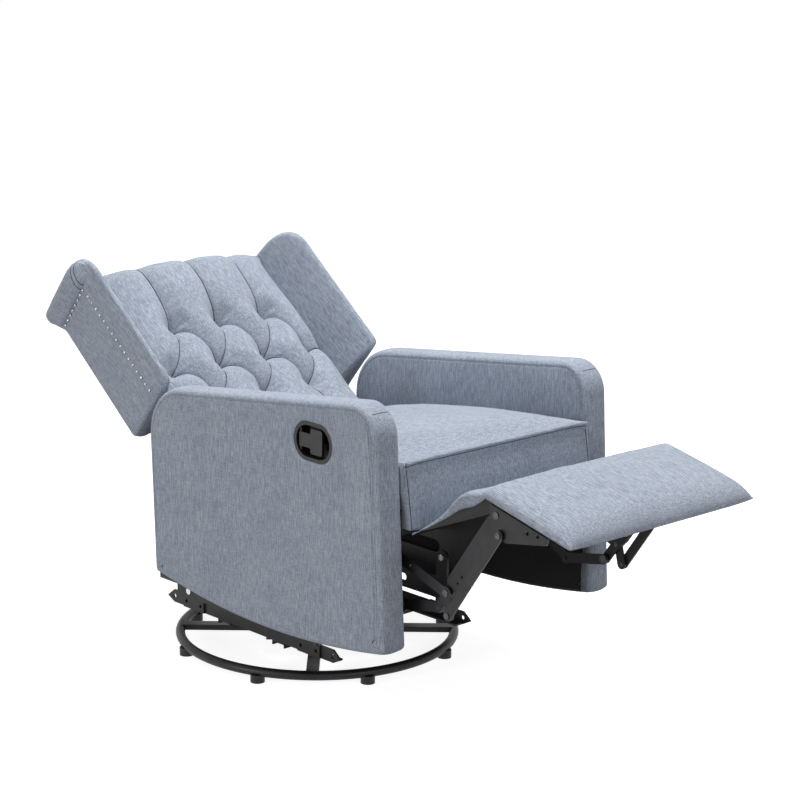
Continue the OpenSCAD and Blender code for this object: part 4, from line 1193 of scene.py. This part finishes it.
# Outer back
def make_outer_back():
    """Thin padded cloth over the back panel, its outer side lightly crowned"""
    verts = []
    cols, rows = 60, 60
    for k, level in enumerate((-BACK_FACE, PANEL_T - BACK_FACE)):
        for i in range(cols + 1):
            for j in range(rows + 1):
                x = -WING_X + 0.3 + (2 * WING_X - 0.6) * i / cols
                d = PANEL_LOW + (PANEL_HIGH - PANEL_LOW) * j / rows
                rim = min(i, cols - i, 6) / 6 * min(j, rows - j, 6) / 6
                out = level
                if k == 0:
                    swell = 2.5 + 1.0 * soft_noise((x, d, 0), 120, 11.0)
                    out -= swell * math.sin(math.pi / 2 * rim) - 0.5
                verts.append((x, d, out))
    return add_mesh("outer_back_cover", verts, sheet_faces(cols, rows), BACK_MATRIX)


dress(make_outer_back(), CLOTH_Y, "back", "back_outer_panel")


# Footrest pad
def pad_ring(u):
    """Crowned pad whose front rolls down in a long curve and whose sides roll in over their last bit"""
    x = u * SOFT_X
    front = PAD_REAR - PAD_LEN + PAD_TIP * abs(u) ** 8
    sides = (1 - max(0.0, (abs(u) - PAD_SIDE) / (1 - PAD_SIDE)) ** 2.6 * 0.80) ** 0.55
    crown = PAD_CROWN * (1 - abs(u) ** 3)
    run = PAD_REAR - front
    ring = [(PAD_REAR - 5, PAD_LOW), (PAD_REAR - 1, PAD_LOW + 2)]
    for i in range(60, -1, -1):
        s = (1 - math.cos(math.pi * i / 60)) / 2
        a = front + 0.5 + s * (run - 1)
        q = min(1.0, (a - front) / PAD_ROLL)
        rolled = (1 - (1 - q) ** 2.3) ** 0.52
        rear = min(1.0, (PAD_REAR - a) / PAD_REAR_R)
        closed = math.sqrt(1 - (1 - rear) ** 2)
        full = PAD_EDGE_T - 2 + crown * math.sin(math.pi * (0.04 + 0.92 * s))
        thick = full * sides * rolled * (0.3 + 0.7 * closed)
        thick += cloth_waves(x, a, PAD_WAVES) * (1 - abs(u) ** 8) * rolled
        ring.append((a, PAD_LOW + PAD_RIM + max(0.0, thick - PAD_RIM)))
    ring += [(front - 0.2, PAD_LOW + 2), (front + 1, PAD_LOW + 0.6), (front + 5, PAD_LOW)]
    return [(x, p[0], p[1]) for p in ring]


pad = loft("footrest_cover", [pad_ring(u) for u in across_stations()], FOOT_MATRIX)
dress(pad, CLOTH_Y, "footrest", "footrest_pad")


# Flap between the seat and the footrest
def make_flap():
    """Cloth that rises to the pad with a soft hump, its side edges turned down as short skirts"""
    half = SOFT_X - 7
    root = Vector((-1.2, SEAT_SKIRT_Z - 2.4))
    tip_local = Vector((PAD_REAR + 1.2, PAD_LOW + PAD_EDGE_T / 2))
    tip = Vector((FOOT_Y + tip_local.x * math.cos(FOOT_TURN) - tip_local.y * math.sin(FOOT_TURN),
                  FOOT_Z + tip_local.x * math.sin(FOOT_TURN) + tip_local.y * math.cos(FOOT_TURN)))
    cols, rows, skirt = 68, 40, 4
    verts = []
    path = []
    for level in (0, 1):
        for i in range(cols + 1):
            inner = min(max(i, skirt), cols - skirt)
            turned = abs(i - inner) / skirt
            u = 2 * (inner - skirt) / (cols - 2 * skirt) - 1
            for j in range(rows + 1):
                s = j / rows
                p = root.lerp(tip, s)
                hump = FLAP_RISE * bell(s - HUMP_AT, HUMP_WIDE) * (1 - s ** 12)
                fold = (2.5 * math.cos(5.5 * u + 0.4) + 1.5 * math.sin(11 * u + 1)) * math.sin(math.pi * s)
                drop = turned * (7 + FLAP_SKIRT * bell(s - SKIRT_AT, SKIRT_WIDE)) * min(1.0, s * 5)
                soft = 3.0 * (1 - min(1.0, (1 - abs(u)) * 12)) ** 2 * (1 - turned)
                z = p.y + hump + fold * (1 - abs(u) ** 6) - drop - soft
                out = half + 1.2 * math.sin(math.pi * min(1.0, turned)) + 1.5 * turned * math.sin(9 * s)
                x = math.copysign(out, u) if turned > 0 else u * half
                if level and turned > 0:
                    x -= math.copysign(FLAP_T, u)
                verts.append((x, p.x, z - (FLAP_T if level and turned == 0 else 0.0)))
                if level == 0 and i == cols // 2:
                    path.append(Vector((p.x, z)))
    length = sum((b - a).length for a, b in zip(path, path[1:]))
    flap = add_mesh("footrest_flap_cloth", verts, sheet_faces(cols, rows), ROW_MATRIX)
    return flap, 2 * half + 1.3 * FLAP_SKIRT, length


flap, flap_w, flap_l = make_flap()
dress(flap, CLOTH_Y, "carriage", "footrest_flap")
flap.data.materials.append(LINING)
for face in flap.data.polygons:
    below = face.index >= len(flap.data.polygons) // 2 - 110
    if below and face.normal.z < -0.3 and abs(face.center.x) < (SOFT_X - 16) * MM:
        face.material_index = 1
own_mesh(flap)


# Materials of the CAD nodes that are kept
def pairs(*stems):
    return [f"{stem}_{side}" for stem in stems for side in SIDES.values()]


KEPT = [
    (STEEL, ["base_ring", "base_cross", "swivel_plate_lower", "swivel_plate_upper", "glider_crossbars",
             "hanger_brackets", "front_hanging_links", "rear_hanging_links", "side_plate_stretcher",
             "drive_tube"]),
    (STEEL, pairs("glider_rail", "carrier_rail", "side_plate", "knee_arm", "guide_link", "channel_link",
                  "upper_link", "footrest_bracket", "back_bracket")),
    (BRIGHT, ["swivel_bearing", "swivel_bolt", "hanger_pins", "carrier_pins", "back_bolts"]),
    (RIVET, ["pivot_rivets", "knee_rivets", "channel_rivets", "footrest_rivets"]),
    (WIRE, ["seat_springs"]),
    (PLASTIC, ["floor_glides", "lever_housing", "lever_paddle", "lever_pin"]),
    (LINING, ["footrest_board", "seat_cross_rails"] + pairs("seat_rail")),
    (TIMBER, ["back_frame"]),
]
for mat, names in KEPT:
    for n in names:
        nodes[n].data.materials.clear()
        nodes[n].data.materials.append(mat)


# Floor, light and camera
WORLD_LIGHT = 0.25
FLOOR_SIZE = 40000.0
FLOOR_GLOW = 0.87


def seen_rays(tree):
    """1 for the rays that show the white background, 0 for those that light the object"""
    rays = tree.nodes.new("ShaderNodeLightPath")
    shown = math_node(tree, "MAXIMUM", rays.outputs["Is Camera Ray"], rays.outputs["Is Glossy Ray"])
    return math_node(tree, "MAXIMUM", shown, rays.outputs["Is Transmission Ray"])


def make_floor():
    verts = [(a * FLOOR_SIZE, b * FLOOR_SIZE, 0) for a, b in ((-1, -1), (1, -1), (1, 1), (-1, 1))]
    floor = add_mesh("floor", verts, [(0, 1, 2, 3)], Matrix.Translation((0, 0, -0.0005)), False)
    mat, tree, shader = new_material("floor_pale")
    put(shader, "Base Color", (0.30, 0.30, 0.30, 1))
    put(shader, "Roughness", 0.9)
    put(shader, "Specular IOR Level", 0.0)
    pale = tree.nodes.new("ShaderNodeBsdfDiffuse")
    put(pale, "Color", (0.60, 0.60, 0.60, 1))
    glow = tree.nodes.new("ShaderNodeEmission")
    put(glow, "Color", (1, 1, 1, 1))
    put(glow, "Strength", FLOOR_GLOW)
    seen = tree.nodes.new("ShaderNodeAddShader")
    tree.links.new(pale.outputs[0], seen.inputs[0])
    tree.links.new(glow.outputs[0], seen.inputs[1])
    mix = tree.nodes.new("ShaderNodeMixShader")
    tree.links.new(seen_rays(tree), mix.inputs[0])
    tree.links.new(shader.outputs[0], mix.inputs[1])
    tree.links.new(seen.outputs[0], mix.inputs[2])
    tree.links.new(mix.outputs[0], tree.nodes["Material Output"].inputs["Surface"])
    floor.data.materials.append(mat)


def make_world():
    world = bpy.data.worlds.new("studio")
    bpy.context.scene.world = world
    world.use_nodes = True
    tree = world.node_tree
    tree.nodes.clear()
    mix = tree.nodes.new("ShaderNodeMixShader")
    out = tree.nodes.new("ShaderNodeOutputWorld")
    tree.links.new(seen_rays(tree), mix.inputs[0])
    for socket, strength in zip(mix.inputs[1:], (WORLD_LIGHT, 1.0)):
        shade = tree.nodes.new("ShaderNodeBackground")
        put(shade, "Color", (1, 1, 1, 1))
        put(shade, "Strength", strength)
        tree.links.new(shade.outputs[0], socket)
    tree.links.new(mix.outputs[0], out.inputs["Surface"])


def area_light(name, at, target, size, power):
    data = bpy.data.lights.new(name, "AREA")
    data.shape = "DISK"
    data.size = size
    data.energy = power
    lamp = bpy.data.objects.new(name, data)
    bpy.context.scene.collection.objects.link(lamp)
    lamp.location = at
    lamp.rotation_euler = (Vector(target) - Vector(at)).to_track_quat("-Z", "Y").to_euler()


def make_camera():
    yaw = math.radians(CAMERA_YAW)
    pitch = math.radians(CAMERA_PITCH)
    roll = math.radians(CAMERA_ROLL)
    behind = Vector((math.sin(yaw) * math.cos(pitch), -math.cos(yaw) * math.cos(pitch), math.sin(pitch)))
    right = Vector((math.cos(yaw), math.sin(yaw), 0))
    up = behind.cross(right)
    turned_right = right * math.cos(roll) + up * math.sin(roll)
    turned_up = up * math.cos(roll) - right * math.sin(roll)
    data = bpy.data.cameras.new("camera")
    data.lens = CAMERA_LENS
    data.sensor_width = 36.0
    camera = bpy.data.objects.new("camera", data)
    bpy.context.scene.collection.objects.link(camera)
    rows = [[turned_right[i], turned_up[i], behind[i], CAMERA_AT[i]] for i in range(3)]
    camera.matrix_world = Matrix([*rows, [0, 0, 0, 1]])
    bpy.context.scene.camera = camera


make_floor()
make_world()
area_light("top", (0.3, 0.1, 3.8), (0, 0, 0.4), 2.2, 142)
area_light("left", (-4.2, 0.5, 0.9), (0, 0, 0.5), 1.0, 60)
area_light("front", (-0.6, -4.2, 1.7), (0, 0, 0.45), 1.6, 34)
make_camera()
bpy.context.scene.view_settings.view_transform = "Standard"
